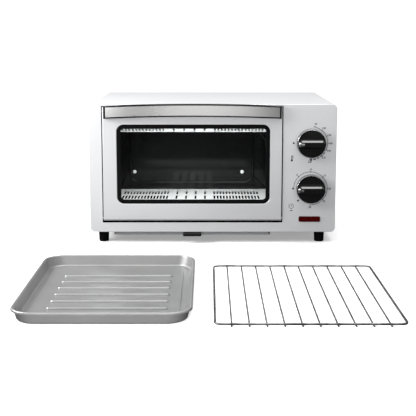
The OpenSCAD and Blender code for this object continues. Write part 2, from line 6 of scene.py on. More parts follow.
import bmesh
import bpy
from bpy.props import FloatProperty, FloatVectorProperty, IntProperty, PointerProperty
from bpy.types import Operator, Panel, PropertyGroup
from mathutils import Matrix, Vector


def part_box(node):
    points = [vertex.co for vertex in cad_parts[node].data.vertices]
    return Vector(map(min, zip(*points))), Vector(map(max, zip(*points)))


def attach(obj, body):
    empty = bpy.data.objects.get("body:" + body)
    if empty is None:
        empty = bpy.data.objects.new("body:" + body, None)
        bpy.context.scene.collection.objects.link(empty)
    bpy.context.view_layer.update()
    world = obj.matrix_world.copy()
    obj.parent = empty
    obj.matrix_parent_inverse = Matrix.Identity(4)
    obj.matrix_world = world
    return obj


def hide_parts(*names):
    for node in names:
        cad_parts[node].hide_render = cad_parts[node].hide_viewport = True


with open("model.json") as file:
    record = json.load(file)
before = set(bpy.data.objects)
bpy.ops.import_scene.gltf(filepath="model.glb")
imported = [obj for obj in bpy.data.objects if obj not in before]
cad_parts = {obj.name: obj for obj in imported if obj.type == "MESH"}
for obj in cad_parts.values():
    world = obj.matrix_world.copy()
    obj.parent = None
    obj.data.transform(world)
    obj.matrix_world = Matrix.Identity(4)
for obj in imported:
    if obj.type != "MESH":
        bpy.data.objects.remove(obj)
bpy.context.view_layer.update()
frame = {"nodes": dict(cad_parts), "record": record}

bl_info = {
    "name": "Toaster Oven Set",
    "version": (1, 0, 0),
    "blender": (4, 5, 0),
    "location": "View3D > Sidebar > Oven",
    "description": "Models a compact toaster oven with its baking tray and wire rack",
    "category": "Add Mesh",
}

MM = 0.001
PANEL_LOW, PANEL_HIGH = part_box("front_panel")
FINISHES = {}


def at(x, y, z):
    """Point in millimetres from the middle of the oven's front face, on the worktop."""
    return Vector(((PANEL_LOW.x + PANEL_HIGH.x)/2 + x*MM, PANEL_LOW.y + y*MM, z*MM))


def mm_box(node):
    """Corners of a node in the oven's own millimetres."""
    low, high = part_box(node)
    home = at(0, 0, 0)
    return (low - home)/MM, (high - home)/MM


# ---------- sizes and colours ----------


def length(name, description, default, largest):
    return FloatProperty(name=name, description=description, default=default*MM, min=0,
                         max=largest*MM, unit="LENGTH", subtype="DISTANCE", precision=4)


def colour(name, description, default):
    return FloatVectorProperty(name=name, description=description, default=default, size=3,
                               min=0, max=1, subtype="COLOR")


class OvenSizes(PropertyGroup):
    """Small sizes of the visible pieces."""

    sheet: length("Sheet", "Thickness of the sheet steel of the casing", 1.0, 1.2)
    case_corner: length("Case corner", "Radius of the long corners of the casing", 7.0, 12)
    door_edge: length("Door edge", "Rounding of the door's upper and side edges", 1.1, 2)
    door_low_edge: length("Door lower edge", "Rounding of the door's lower front edge", 3.0, 3)
    seal_width: length("Seal width", "Visible width of the window seal", 5.0, 6)
    handle_bow: length("Handle bow", "How far the handle bows out at its middle", 18.0, 22)
    handle_arch: length("Handle arch", "How far the handle rises at its middle", 4.5, 6)
    handle_rim: length("Handle rim", "Height of the black rim around the plate", 2.0, 4)
    grip_width: length("Grip width", "Height of a knob's level grip bar", 12.0, 14)
    number_size: length("Number size", "Size of the numbers on the scales", 3.8, 5)
    ink: length("Ink", "How far the printed marks stand proud", 0.05, 0.2)
    slot_width: length("Slot width", "Width of the slots in the two guards", 3.1, 3.5)
    bead: length("Bead", "Half the width of the pressed bead in the back wall", 2.5, 4)
    tray_sheet: length("Tray sheet", "Thickness of the baking tray", 1.0, 1.2)
    tray_ribs: IntProperty(name="Tray ribs", description="Pressed ribs in the baking tray",
                           default=6, min=1, max=7)
    rack_bars: IntProperty(name="Rack bars", description="Bars in the wire rack",
                           default=10, min=2, max=12)


class OvenColours(PropertyGroup):
    """Colours of the finishes."""

    cabinet: colour("Cabinet", "Painted wrap of the casing", (0.6, 0.605, 0.615))
    panel: colour("Panel", "Silver front panel", (0.72, 0.725, 0.74))
    door: colour("Door", "Brushed silver door", (0.73, 0.735, 0.75))
    black: colour("Black", "Gloss black knobs and handle", (0.004, 0.004, 0.0043))
    enamel: colour("Enamel", "Black enamel inside the oven", (0.0015, 0.0015, 0.0016))
    lens: colour("Lens", "Indicator lens", (0.034, 0.0006, 0.0008))
    tray: colour("Tray", "Baking tray aluminium", (0.27, 0.27, 0.27))
    rack: colour("Rack", "Wire rack", (0.17, 0.17, 0.175))
    ink: colour("Ink", "Printed scales and signs", (0.025, 0.025, 0.028))


# ---------- modelling ----------


def drop_selection():
    """Leaves object mode with nothing selected."""
    if bpy.context.mode != "OBJECT":
        bpy.ops.object.mode_set(mode="OBJECT")
    bpy.ops.object.select_all(action="DESELECT")


def take(piece):
    """Makes one piece the only selected and the active one."""
    drop_selection()
    piece.select_set(True)
    bpy.context.view_layer.objects.active = piece
    return piece


def settle(name):
    """Names the active new piece and puts its place into its mesh."""
    piece = bpy.context.object
    piece.name = name
    piece.data.name = name
    bpy.ops.object.transform_apply(location=True, rotation=True, scale=True)
    return piece


def block(name, low, high):
    """Block between two corners."""
    drop_selection()
    bpy.ops.mesh.primitive_cube_add(size=1, location=(low + high)/2, scale=high - low)
    return settle(name)


def rod(name, start, end, radius, sides=48, end_radius=None):
    """Round bar from one point to another, tapered where it has an end radius."""
    drop_selection()
    line = end - start
    bpy.ops.mesh.primitive_cone_add(
        vertices=sides, radius1=radius, radius2=radius if end_radius is None else end_radius,
        depth=line.length, location=(start + end)/2,
        rotation=line.to_track_quat("Z", "Y").to_euler())
    return settle(name)


def middle(item):
    """Middle of an edge or face."""
    return sum((v.co for v in item.verts), Vector())/len(item.verts)


def along(edge, axis):
    """True for an edge parallel to that axis."""
    line = edge.verts[1].co - edge.verts[0].co
    return abs(line[axis]) > 0.999*line.length


def near(value, goal, within=0.02*MM):
    return abs(value - goal) < within


def pick(piece, kind, test):
    """Opens a piece in edit mode with the elements that pass a test selected."""
    take(piece)
    bpy.context.tool_settings.mesh_select_mode = (kind == "VERT", kind == "EDGE", kind == "FACE")
    bpy.ops.object.mode_set(mode="EDIT")
    bpy.ops.mesh.select_all(action="DESELECT")
    shape = bmesh.from_edit_mesh(piece.data)
    items = {"VERT": shape.verts, "EDGE": shape.edges, "FACE": shape.faces}[kind]
    for item in items:
        if test(item):
            item.select_set(True)
    shape.select_flush_mode()
    bmesh.update_edit_mesh(piece.data)


def leave():
    bpy.ops.object.mode_set(mode="OBJECT")


def round_edges(piece, radius, segments, test):
    """Rounds the edges that pass a test."""
    pick(piece, "EDGE", test)
    bpy.ops.mesh.bevel(offset=radius, segments=segments, affect="EDGES")
    leave()
    return piece


def slab(name, low, high, radius, axis=1, segments=10):
    """Block whose four edges along one axis are rounded."""
    piece = block(name, low, high)
    return round_edges(piece, radius, segments, lambda e: along(e, axis))


def applied(piece, kind, **settings):
    """Adds a modifier, sets it and applies it."""
    take(piece)
    modifier = piece.modifiers.new(kind.title(), kind)
    for key, value in settings.items():
        setattr(modifier, key, value)
    bpy.ops.object.modifier_apply(modifier=modifier.name)
    return piece


def combine(piece, others, operation):
    for other in others:
        applied(piece, "BOOLEAN", object=other, operation=operation, solver="EXACT")
        bpy.data.meshes.remove(other.data)
    return piece


def cut(piece, *others):
    """Takes shapes out of a piece."""
    return combine(piece, others, "DIFFERENCE")


def unite(piece, *others):
    """Melts shapes into a piece."""
    return combine(piece, others, "UNION")


def common(piece, *others):
    """Keeps what a piece shares with other shapes."""
    return combine(piece, others, "INTERSECT")


def row(piece, count, step):
    """Repeats a shape in a straight row, as one mesh."""
    return applied(piece, "ARRAY", count=count, use_relative_offset=False,
                   use_constant_offset=True, constant_offset_displace=step)


def wire_loop(name, centre, width, height, corner, radius, upright=False):
    """Closed round wire along a rectangle with round corners, lying or upright."""
    drop_selection()
    bpy.ops.mesh.primitive_plane_add(size=1, location=centre,
                                     rotation=(math.pi/2 if upright else 0, 0, 0))
    bpy.context.object.scale = (width, height, 1)
    loop = settle(name)
    pick(loop, "VERT", lambda v: True)
    bpy.ops.mesh.bevel(offset=corner, segments=8, affect="VERTICES")
    bpy.ops.mesh.select_all(action="SELECT")
    bpy.ops.mesh.delete(type="ONLY_FACE")
    leave()
    bpy.ops.object.convert(target="CURVE")
    loop = bpy.context.object
    loop.data.bevel_depth = radius
    loop.data.bevel_resolution = 4
    bpy.ops.object.convert(target="MESH")
    return settle(name)


def soften(piece, width, segments=2, angle=40):
    """Rounds every sharp edge a little."""
    applied(piece, "BEVEL", width=width, segments=segments, limit_method="ANGLE",
            angle_limit=math.radians(angle), use_clamp_overlap=True)
    return piece


def gather(name, pieces):
    """Joins shapes into one piece without melting them."""
    take(pieces[0])
    for piece in pieces:
        piece.select_set(True)
    bpy.ops.object.join()
    pieces[0].name = name
    pieces[0].data.name = name
    return pieces[0]


def twin(piece, name, step):
    """Copy of a piece with its own mesh, moved by a step."""
    take(piece)
    bpy.ops.object.duplicate(linked=False)
    bpy.ops.transform.translate(value=step)
    return settle(name)


def place(piece, body, slot, *nodes, smooth=35):
    """Gives a finished piece its shading, finish and body, and hides the nodes it stands for."""
    take(piece)
    bpy.ops.object.shade_smooth_by_angle(angle=math.radians(smooth))
    applied(piece, "WEIGHTED_NORMAL", keep_sharp=True)
    piece.data.materials.clear()
    piece.data.materials.append(FINISHES[slot])
    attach(piece, body)
    if nodes:
        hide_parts(*nodes)
    return piece


def screw_head(name, x, z, y, out):
    """Domed cross-recess screw head whose seat is at y and which stands out along Y."""
    head = rod(name, at(x, y, z), at(x, y + out*1.5, z), 3*MM, 32)
    round_edges(head, 0.9*MM, 4,
                lambda e: all(near(v.co.y, at(0, y + out*1.5, 0).y) for v in e.verts))
    near_y, far_y = sorted((y + out*0.75, y + out*2))
    cut(head,
        block("recess", at(x - 1.6, near_y, z - 0.35), at(x + 1.6, far_y, z + 0.35)),
        block("recess", at(x - 0.35, near_y, z - 1.6), at(x + 0.35, far_y, z + 1.6)))
    return head


# ---------- finishes ----------


class Value:
    """Number that changes over a surface, so that shader maths reads as plain arithmetic."""

    def __init__(self, tree, socket):
        self.tree = tree
        self.socket = socket

    def maths(self, operation, first, second):
        node = self.tree.nodes.new("ShaderNodeMath")
        node.operation = operation
        for socket, value in zip(node.inputs, (first, second)):
            if isinstance(value, Value):
                self.tree.links.new(value.socket, socket)
            else:
                socket.default_value = value
        return Value(self.tree, node.outputs[0])

    def __add__(self, other):
        return self.maths("ADD", self, other)

    __radd__ = __add__

    def __sub__(self, other):
        return self.maths("SUBTRACT", self, other)

    def __rsub__(self, other):
        return self.maths("SUBTRACT", other, self)

    def __mul__(self, other):
        return self.maths("MULTIPLY", self, other)

    __rmul__ = __mul__


class Finish:
    """Material under construction: one surface shader and what feeds it."""

    def __init__(self, name):
        self.material = bpy.data.materials.new(name)
        self.material.use_nodes = True
        self.tree = self.material.node_tree
        self.tree.nodes.clear()
        self.place = self.node("ShaderNodeTexCoord", output="Object")

    def node(self, kind, settings=None, sockets=None, output=0):
        """Adds a node, sets it, fills or links its sockets, and returns one output."""
        node = self.tree.nodes.new(kind)
        for key, value in (settings or {}).items():
            if key == "stops":
                ramp = node.color_ramp.elements
                while len(ramp) < len(value):
                    ramp.new(1)
                for element, (position, shade) in zip(ramp, value):
                    element.position = position
                    element.color = shade
            else:
                setattr(node, key, value)
        for key, value in (sockets or {}).items():
            if isinstance(value, Value):
                self.tree.links.new(value.socket, node.inputs[key])
            else:
                node.inputs[key].default_value = value
        return Value(self.tree, node.outputs[output]) if node.outputs else None

    def noise(self, size, stretch=(1, 1, 1), detail=3, rough=0.55):
        """Soft pattern whose spots are about that many metres across."""
        spot = self.node("ShaderNodeMapping", None,
                         {"Vector": self.place, "Scale": [s/size for s in stretch]})
        return self.node("ShaderNodeTexNoise", None,
                         {"Vector": spot, "Scale": 1.0, "Detail": detail, "Roughness": rough})

    def ramp(self, value, low, high, start=0.0, end=1.0):
        """Smooth step of a value from start to end as it passes from low to high."""
        return self.node("ShaderNodeMapRange", {"interpolation_type": "SMOOTHSTEP"},
                         {"Value": value, "From Min": low, "From Max": high,
                          "To Min": start, "To Max": end})

    def blend(self, share, first, second):
        """Colour that goes from first to second."""
        mix = {"data_type": "RGBA", "blend_type": "MIX"}
        return self.node("ShaderNodeMix", mix, {0: share, 6: first, 7: second}, output=2)

    def bump(self, height, distance, strength=1.0):
        return self.node("ShaderNodeBump", None,
                         {"Height": height, "Distance": distance, "Strength": strength})

    def surface(self, **sockets):
        """Principled surface; keys are socket names with _ for spaces."""
        named = {key.replace("_", " "): value for key, value in sockets.items()}
        return self.node("ShaderNodeBsdfPrincipled", None, named)

    def close(self, shader):
        self.node("ShaderNodeOutputMaterial", None, {"Surface": shader})
        return self.material


def rgba(tone, gain=1.0):
    if isinstance(tone, (int, float)):
        tone = (tone, tone, tone)
    return tuple(min(1.0, c*gain) for c in tone) + (1.0,)


def painted(name, tone, metallic, rough, peel, depth, coat=0.0):
    """Stoved paint: faint cloudiness, fine orange peel and a few rubbed spots."""
    f = Finish(name)
    cloud = f.noise(90*MM, detail=2)
    fleck = f.noise(0.7*MM, detail=2)
    rub = f.ramp(f.noise(35*MM, detail=5, rough=0.7), 0.6, 0.78)
    base = f.blend(cloud, rgba(tone, 0.975), rgba(tone, 1.02))
    base = f.blend(f.ramp(fleck, 0.35, 0.7), base, rgba(tone, 1.05))
    return f.close(f.surface(
        Base_Color=base, Metallic=metallic,
        Roughness=rough + 0.06*(cloud - 0.5) + 0.04*(fleck - 0.5) - 0.05*rub,
        Coat_Weight=coat, Coat_Roughness=0.2,
        Normal=f.bump(f.noise(peel, detail=3), depth)))


def sheet_metal(name, tone, metallic, rough, lay=(1, 1, 1), depth=0.02*MM, grey=0.9):
    """Rolled or brushed sheet with fine lines that run where lay is small."""
    f = Finish(name)
    line = f.noise(1.2*MM, lay, detail=4, rough=0.65)
    wide = f.noise(14*MM, lay, detail=2)
    cloud = f.noise(50*MM, detail=3)
    base = f.blend(0.6*line + 0.4*wide, rgba(tone, grey), rgba(tone, 1.06))
    return f.close(f.surface(
        Base_Color=base, Metallic=metallic,
        Roughness=rough + 0.12*(line - 0.5) + 0.08*(cloud - 0.5),
        Normal=f.bump(line, depth)))


def moulded(name, tone, rough, grain, depth, specular=0.5):
    """Moulded plastic or rubber with faint grain and handling marks."""
    f = Finish(name)
    cloud = f.noise(20*MM, detail=3)
    smear = f.ramp(f.noise(8*MM, (1, 1, 0.25), detail=5, rough=0.7), 0.55, 0.75)
    base = f.blend(cloud, rgba(tone, 0.85), rgba(tone, 1.2))
    return f.close(f.surface(
        Base_Color=base, Roughness=rough + 0.05*(cloud - 0.5) + 0.06*smear,
        Specular_IOR_Level=specular,
        Normal=f.bump(f.noise(grain, detail=3), depth)))


def tray_metal(name, tone):
    """Matt bare aluminium with baked spots and light scratches."""
    f = Finish(name)
    scratch = f.noise(1.6*MM, (0.05, 1, 1), detail=5, rough=0.7)
    cross = f.noise(1.4*MM, (1, 0.04, 1), detail=4)
    cloud = f.noise(30*MM, detail=4, rough=0.6)
    stain = f.ramp(f.noise(18*MM, detail=6, rough=0.75), 0.6, 0.8)
    base = f.blend(cloud, rgba(tone, 0.88), rgba(tone, 1.1))
    base = f.blend(0.3*stain, base, rgba(tone, 0.6))
    return f.close(f.surface(
        Base_Color=base, Metallic=0.6, Roughness=0.36 + 0.14*(scratch - 0.5) + 0.12*(cloud - 0.5),
        Normal=f.bump(0.6*scratch + 0.4*cross, 0.03*MM)))


def wire_metal(name, tone):
    """Plated wire with random bright and dark patches in its colour: painted reflection and shade."""
    f = Finish(name)
    patch = f.noise(22*MM, detail=3, rough=0.6)
    draw = f.noise(0.6*MM, (1, 0.05, 1), detail=3)
    # The bright and dark patches in the base colour are painted reflection and shade.
    base = f.blend(f.ramp(patch, 0.35, 0.65), rgba(tone, 0.3), rgba(tone, 1.5))
    return f.close(f.surface(
        Base_Color=base, Metallic=0.9, Roughness=0.3 + 0.1*(patch - 0.5) + 0.08*(draw - 0.5),
        Normal=f.bump(draw, 0.01*MM)))


def window_glass(name):
    """Clear pane: mostly see-through, with a faint shine and dust on it."""
    f = Finish(name)
    dust = f.ramp(f.noise(12*MM, detail=6, rough=0.7), 0.5, 0.85)
    edge = f.node("ShaderNodeFresnel", None, {"IOR": 1.35})
    shine = f.surface(Base_Color=rgba(0.02), Roughness=0.03 + 0.05*dust, Specular_IOR_Level=0.5)
    clear = f.node("ShaderNodeBsdfTransparent", None, {"Color": rgba((0.9, 0.92, 0.91))})
    share = 0.45*edge + 0.006*dust
    return f.close(f.node("ShaderNodeMixShader", None, {0: share, 1: clear, 2: shine}))


def lens_plastic(name, tone):
    """Deep red moulded lens with fine ribs inside."""
    f = Finish(name)
    ribs = f.node("ShaderNodeTexWave", {"wave_type": "BANDS", "bands_direction": "X"},
                  {"Vector": f.place, "Scale": 150.0, "Distortion": 0.3})
    cloud = f.noise(6*MM, detail=2)
    base = f.blend(0.5*ribs + 0.5*cloud, rgba(tone, 0.5), rgba(tone, 1.9))
    return f.close(f.surface(Base_Color=base, Roughness=0.14 + 0.08*cloud,
                             Specular_IOR_Level=0.08, Normal=f.bump(ribs, 0.04*MM)))


def printed(name, tone):
    """Screen-printed ink with slightly uneven cover."""
    f = Finish(name)
    cover = f.noise(0.9*MM, detail=3)
    base = f.blend(cover, rgba(tone, 0.8), rgba(tone, 1.6))
    return f.close(f.surface(Base_Color=base, Roughness=0.5 + 0.15*(cover - 0.5),
                             Normal=f.bump(cover, 0.008*MM)))


class OVEN_OT_finishes(Operator):
    """Make every finish and give it to the frame's nodes"""

    bl_idname = "oven.finishes"
    bl_label = "Finishes"

    def execute(self, context):
        c = context.scene.oven_colours
        recipes = {
            "cabinet_paint": (painted, {"tone": c.cabinet, "metallic": 0.0, "rough": 0.42,
                                        "peel": 1.6*MM, "depth": 0.03*MM}),
            "panel_silver": (painted, {"tone": c.panel, "metallic": 0.55, "rough": 0.4,
                                       "peel": 1.1*MM, "depth": 0.015*MM, "coat": 0.15}),
            "door_silver": (sheet_metal, {"tone": c.door, "metallic": 0.6, "rough": 0.36,
                                          "lay": (0.02, 1, 1), "depth": 0.006*MM, "grey": 0.95}),
            "plated_sheet": (sheet_metal, {"tone": (0.62, 0.63, 0.64), "metallic": 0.85,
                                           "rough": 0.42, "lay": (1, 0.06, 1)}),
            "guard_sheet": (sheet_metal, {"tone": (0.86, 0.86, 0.87), "metallic": 0.35,
                                          "rough": 0.38, "lay": (1, 0.05, 1)}),
            "black_enamel": (moulded, {"tone": c.enamel, "rough": 0.1, "grain": 6*MM,
                                       "depth": 0.01*MM, "specular": 0.3}),
            "screw_steel": (sheet_metal, {"tone": (0.8, 0.8, 0.81), "metallic": 0.45, "rough": 0.35}),
            "black_rubber": (moulded, {"tone": (0.003, 0.003, 0.0032), "rough": 0.6,
                                       "grain": 0.6*MM, "depth": 0.03*MM, "specular": 0.06}),
            "heater_sheath": (sheet_metal, {"tone": (0.16, 0.15, 0.14), "metallic": 0.7,
                                            "rough": 0.5, "lay": (0.1, 1, 1)}),
            "ceramic": (moulded, {"tone": (0.62, 0.58, 0.5), "rough": 0.55, "grain": 0.8*MM,
                                  "depth": 0.04*MM}),
            "spring_steel": (sheet_metal, {"tone": (0.36, 0.36, 0.37), "metallic": 0.95,
                                           "rough": 0.35}),
            "control_plastic": (moulded, {"tone": (0.55, 0.54, 0.5), "rough": 0.5,
                                          "grain": 0.8*MM, "depth": 0.03*MM}),
            "red_lens": (lens_plastic, {"tone": c.lens}),
            "lamp_glass": (moulded, {"tone": (0.7, 0.25, 0.06), "rough": 0.1, "grain": 2*MM,
                                     "depth": 0.01*MM}),
            "lead_insulation": (moulded, {"tone": (0.4, 0.03, 0.02), "rough": 0.45,
                                          "grain": 0.9*MM, "depth": 0.02*MM}),
            "door_glass": (window_glass, {}),
            "gloss_black": (moulded, {"tone": c.black, "rough": 0.1, "grain": 3*MM,
                                      "depth": 0.012*MM, "specular": 0.45}),
            "brushed_plate": (sheet_metal, {"tone": (0.93, 0.93, 0.92), "metallic": 1.0,
                                            "rough": 0.3, "lay": (0.015, 1, 1),
                                            "depth": 0.006*MM, "grey": 0.84}),
            "bright_trim": (sheet_metal, {"tone": (0.8, 0.8, 0.81), "metallic": 1.0,
                                          "rough": 0.14, "depth": 0.004*MM}),
            "black_plastic": (moulded, {"tone": (0.006, 0.006, 0.0065), "rough": 0.4,
                                        "grain": 0.7*MM, "depth": 0.04*MM, "specular": 0.3}),
            "tray_aluminium": (tray_metal, {"tone": c.tray}),
            "rack_wire": (wire_metal, {"tone": c.rack}),
            "dial_ink": (printed, {"tone": c.ink}),
        }
        for name, (make, look) in recipes.items():
            FINISHES[name] = make(name, **look)
        for entry in frame["record"]["subparts"]:
            mesh = frame["nodes"][entry["node"]].data
            mesh.materials.clear()
            mesh.materials.append(FINISHES[entry["material_slot"]])
        return {"FINISHED"}


# ---------- casing ----------


class OVEN_OT_cabinet(Operator):
    """Model the painted wrap of the casing with its side vents"""

    bl_idname = "oven.cabinet"
    bl_label = "Cabinet"

    def execute(self, context):
        s = context.scene.oven_sizes
        low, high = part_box("cabinet")
        wrap = slab("cabinet_wrap", low, high, s.case_corner)
        skin = Vector((s.sheet, -2*MM, s.sheet))
        cut(wrap, slab("hollow", low + skin, high - skin, s.case_corner - s.sheet))
        flange = Vector((9*MM, -MM, -MM))
        cut(wrap, block("belly", low + flange, Vector((high.x, high.y, low.z + MM)) - flange))
        for side, rows in ((185, (70, 104, 138)), (-185, (138,))):
            for z in rows:
                vent = slab("vent", at(side - 5, 60, z), at(side + 5, 64, z + 20), 1.9*MM, 0, 6)
                cut(wrap, row(vent, 8, (0, 11*MM, 0)))
        soften(wrap, 0.3*MM, 2)
        place(wrap, "casing", "cabinet_paint", "cabinet")
        return {"FINISHED"}


class OVEN_OT_front_panel(Operator):
    """Model the silver front panel with the rebate that the door closes into"""

    bl_idname = "oven.front_panel"
    bl_label = "Front Panel"

    def execute(self, context):
        s = context.scene.oven_sizes
        low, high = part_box("front_panel")
        back = low.y + 1.2*MM
        panel = slab("silver_panel", low, Vector((high.x, back, high.z)), s.case_corner)
        round_edges(panel, 0.6*MM, 3, lambda e: near(middle(e).y, low.y) and not along(e, 1))
        door_low, door_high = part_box("door_frame")
        gap = 1.7*MM
        left_low = Vector((door_low.x - gap, low.y - MM, door_low.z - 3*MM))
        right_high = Vector((door_high.x + gap, high.y - s.sheet, door_high.z + gap))
        around = Vector((s.sheet, s.sheet, s.sheet))
        rebate_low = left_low - around
        shade_tub = block("door_rebate_shade", Vector((rebate_low.x, back, rebate_low.z)), right_high + around)
        wall_low, wall_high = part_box("cavity_left_wall")[0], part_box("cavity_right_wall")[1]
        mouth = block("mouth", Vector((wall_low.x + 0.8*MM, high.y - 3*MM, at(0, 0, 41).z)),
                      Vector((wall_high.x - 0.8*MM, high.y + MM, at(0, 0, 189).z)))
        cut(shade_tub, block("opening", left_low, right_high), mouth)
        cut(panel, block("opening", left_low, right_high))
        for knob in ("thermostat_knob", "timer_knob"):
            centre = sum(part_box(knob), Vector())/2
            cut(panel, rod("hole", Vector((centre.x, low.y - MM, centre.z)),
                           Vector((centre.x, low.y + 3*MM, centre.z)), 5*MM))
        cut(panel, slab("lamp_hole", at(129.95, -1, 33.1), at(162.45, 3, 41.5), 2*MM))
        hinge = at(0, 4, 38.5)
        cut(shade_tub, rod("pin_hole", Vector((left_low.x - 3*MM, hinge.y, hinge.z)),
                     Vector((right_high.x + 3*MM, hinge.y, hinge.z)), 2.2*MM, 32))
        soften(panel, 0.25*MM, 2, 60)
        soften(shade_tub, 0.25*MM, 2, 60)
        place(panel, "casing", "panel_silver", "front_panel")
        # The rebate's black enamel is painted shade: it makes the gaps round the door read dark.
        place(shade_tub, "casing", "black_enamel")
        return {"FINISHED"}


class OVEN_OT_back(Operator):
    """Model the rear cover, its screws and the lead gland"""

    bl_idname = "oven.back"
    bl_label = "Back"

    def execute(self, context):
        low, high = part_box("rear_cover")
        cover = slab("rear_panel", low, high, 5.5*MM)
        round_edges(cover, 1.2*MM, 4, lambda e: near(middle(e).y, high.y) and not along(e, 1))
        skin = Vector((MM, 0, MM))
        cut(cover, slab("hollow", low + skin - Vector((0, MM, 0)),
                        Vector((high.x - MM, high.y - MM, high.z - MM)), 4.5*MM))
        for x, count, step, size_x, size_z, z in (
                (-150, 14, 17, 11, 5, 150), (-150, 14, 17, 11, 5, 166), (112, 6, 9, 4, 40, 120)):
            vent = slab("vent", at(x, 248, z), at(x + size_x, 256, z + size_z), 1.9*MM, 1, 6)
            cut(cover, row(vent, count, (step*MM, 0, 0)))
        gland_low, gland_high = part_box("cable_gland")
        hole = Vector(((gland_low.x + gland_high.x)/2, 0, (gland_low.z + gland_high.z)/2))
        cut(cover, rod("hole", hole + Vector((0, high.y - 4*MM, 0)),
                       hole + Vector((0, high.y + 2*MM, 0)), 6.2*MM))
        soften(cover, 0.2*MM, 2, 50)
        place(cover, "casing", "plated_sheet", "rear_cover")

        heads = [screw_head("cover_screw", x, z, 253, 1) for x in (-170, 0, 170) for z in (27, 202)]
        place(gather("rear_screws", heads), "casing", "screw_steel", "cover_screws")

        base = hole + Vector((0, high.y, 0))
        out = Vector((0, MM, 0))
        gland = rod("lead_gland", base, base + 3*out, 9*MM, 48)
        round_edges(gland, 0.8*MM, 3, lambda e: near(middle(e).y, base.y + 3*MM) and not along(e, 1))
        unite(gland, rod("sleeve", base - 6*out, gland_high.y*Vector((0, 1, 0)) + hole, 6*MM, 48,
                         5.2*MM))
        unite(gland, rod("collar", base - 6*out, base - 1*out, 8*MM, 48))
        for step in (4.4, 6.6, 8.8):
            ring = rod("groove", base + step*out, base + (step + 0.9)*out, 7*MM, 48)
            cut(ring, rod("core", base + (step - 1)*out, base + (step + 2)*out, 4.7*MM, 48))
            cut(gland, ring)
        cut(gland, rod("bore", base - 12*out, base + 20*out, 3.6*MM, 48))
        soften(gland, 0.25*MM, 2, 50)
        place(gland, "casing", "black_rubber", "cable_gland")
        return {"FINISHED"}


class OVEN_OT_feet(Operator):
    """Model the four rubber feet"""

    bl_idname = "oven.feet"
    bl_label = "Feet"

    def execute(self, context):
        names = ("foot_front_left", "foot_front_right", "foot_rear_left", "foot_rear_right")
        low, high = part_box(names[0])
        centre = (low + high)/2
        foot = rod("rubber_foot_front_left", Vector((centre.x, centre.y, low.z)),
                   Vector((centre.x, centre.y, high.z)), 7.2*MM, 48, 8*MM)
        round_edges(foot, 1*MM, 4, lambda e: all(near(v.co.z, low.z) for v in e.verts))
        pick(foot, "FACE", lambda f: f.normal.z < -0.99)
        bpy.ops.mesh.inset(thickness=2.2*MM)
        bpy.ops.mesh.extrude_region_move(TRANSFORM_OT_translate={"value": (0, 0, 5*MM)})
        leave()
        soften(foot, 0.3*MM, 2, 50)
        feet = [foot]
        for name in names[1:]:
            step = sum(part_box(name), Vector())/2 - centre
            feet.append(twin(foot, "rubber_" + name, step))
        for piece, name in zip(feet, names):
            place(piece, "casing", "black_rubber", name)
        return {"FINISHED"}


# ---------- oven interior ----------


HEATER_PLACES = {"lower_heaters": ((72, 30.5), (178, 30.5)),
                 "upper_heaters": ((95, 177), (178, 177))}
SHELF_HEIGHTS = (82, 110)
WALL_SCREW_XS = (-136, 53)


def slot_places():
    """X of the slots in the guards: four wide-spaced in the middle, close rows beside them."""
    middle_x = -36
    places = [middle_x + step*15.9 for step in (-1.5, -0.5, 0.5, 1.5)]
    for side in (-1, 1):
        places += [middle_x + side*(15.9*2.5 + i*5.25) for i in range(15)]
    return places


class OVEN_OT_interior(Operator):
    """Model the enamelled walls with their pressed beads and shelf runners"""

    bl_idname = "oven.interior"
    bl_label = "Interior"

    def execute(self, context):
        s = context.scene.oven_sizes
        low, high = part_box("cavity_back_wall")
        skin = high.y - 0.8*MM
        wall = block("back_wall", Vector((low.x, skin, low.z)), high)
        bead = wire_loop("bead", at(-35.5, 235, 106), 215*MM, 104*MM, 14*MM, s.bead, True)
        unite(wall, bead)
        for start, end in (((72, 152), (96, 128)), ((72, 100), (96, 66)), ((72, 66), (94, 44))):
            bar = rod("rib", at(start[0], 235.6, start[1]), at(end[0], 235.6, end[1]), 1.5*MM, 20)
            unite(wall, bar)
        common(wall, block("limits", low, high))
        place(wall, "casing", "black_enamel", "cavity_back_wall")

        heads = [screw_head("wall_screw", x, 73, 235, -1) for x in WALL_SCREW_XS]
        place(gather("wall_screws", heads), "casing", "screw_steel", "back_wall_screws")

        for name, side in (("cavity_left_wall", 1), ("cavity_right_wall", -1)):
            low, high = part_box(name)
            face = low.x + 0.8*MM if side > 0 else high.x - 0.8*MM
            outer = low.x if side > 0 else high.x
            left, right = sorted((face, outer))
            wall = block(name.replace("cavity", "enamel"), Vector((left, low.y, low.z)),
                         Vector((right, high.y, high.z)))
            for z in SHELF_HEIGHTS:
                a, b = sorted((face - side*0.3*MM, face + side*5*MM))
                runner = block("runner", Vector((a, at(0, 26, 0).y, z*MM)),
                               Vector((b, at(0, 229, 0).y, (z + 4)*MM)))
                round_edges(runner, 1.6*MM, 5, lambda e: not along(e, 0)
                            and near(middle(e).x, face + side*5*MM))
                unite(wall, runner)
            for y, z in sum(HEATER_PLACES.values(), ()):
                hole = at(0, y, z)
                cut(wall, rod("hole", Vector((face - 4*MM, hole.y, hole.z)),
                              Vector((face + 4*MM, hole.y, hole.z)), 6*MM, 32))
            place(wall, "casing", "black_enamel", name)
        return {"FINISHED"}


def slot_cutter(places, half, front, back, low, high):
    """Cutters for a row of slots that run from front to back."""
    return gather("slots", [slab("slot", at(x - half, front, low), at(x + half, back, high),
                                 1.2*MM, 2, 3) for x in places])


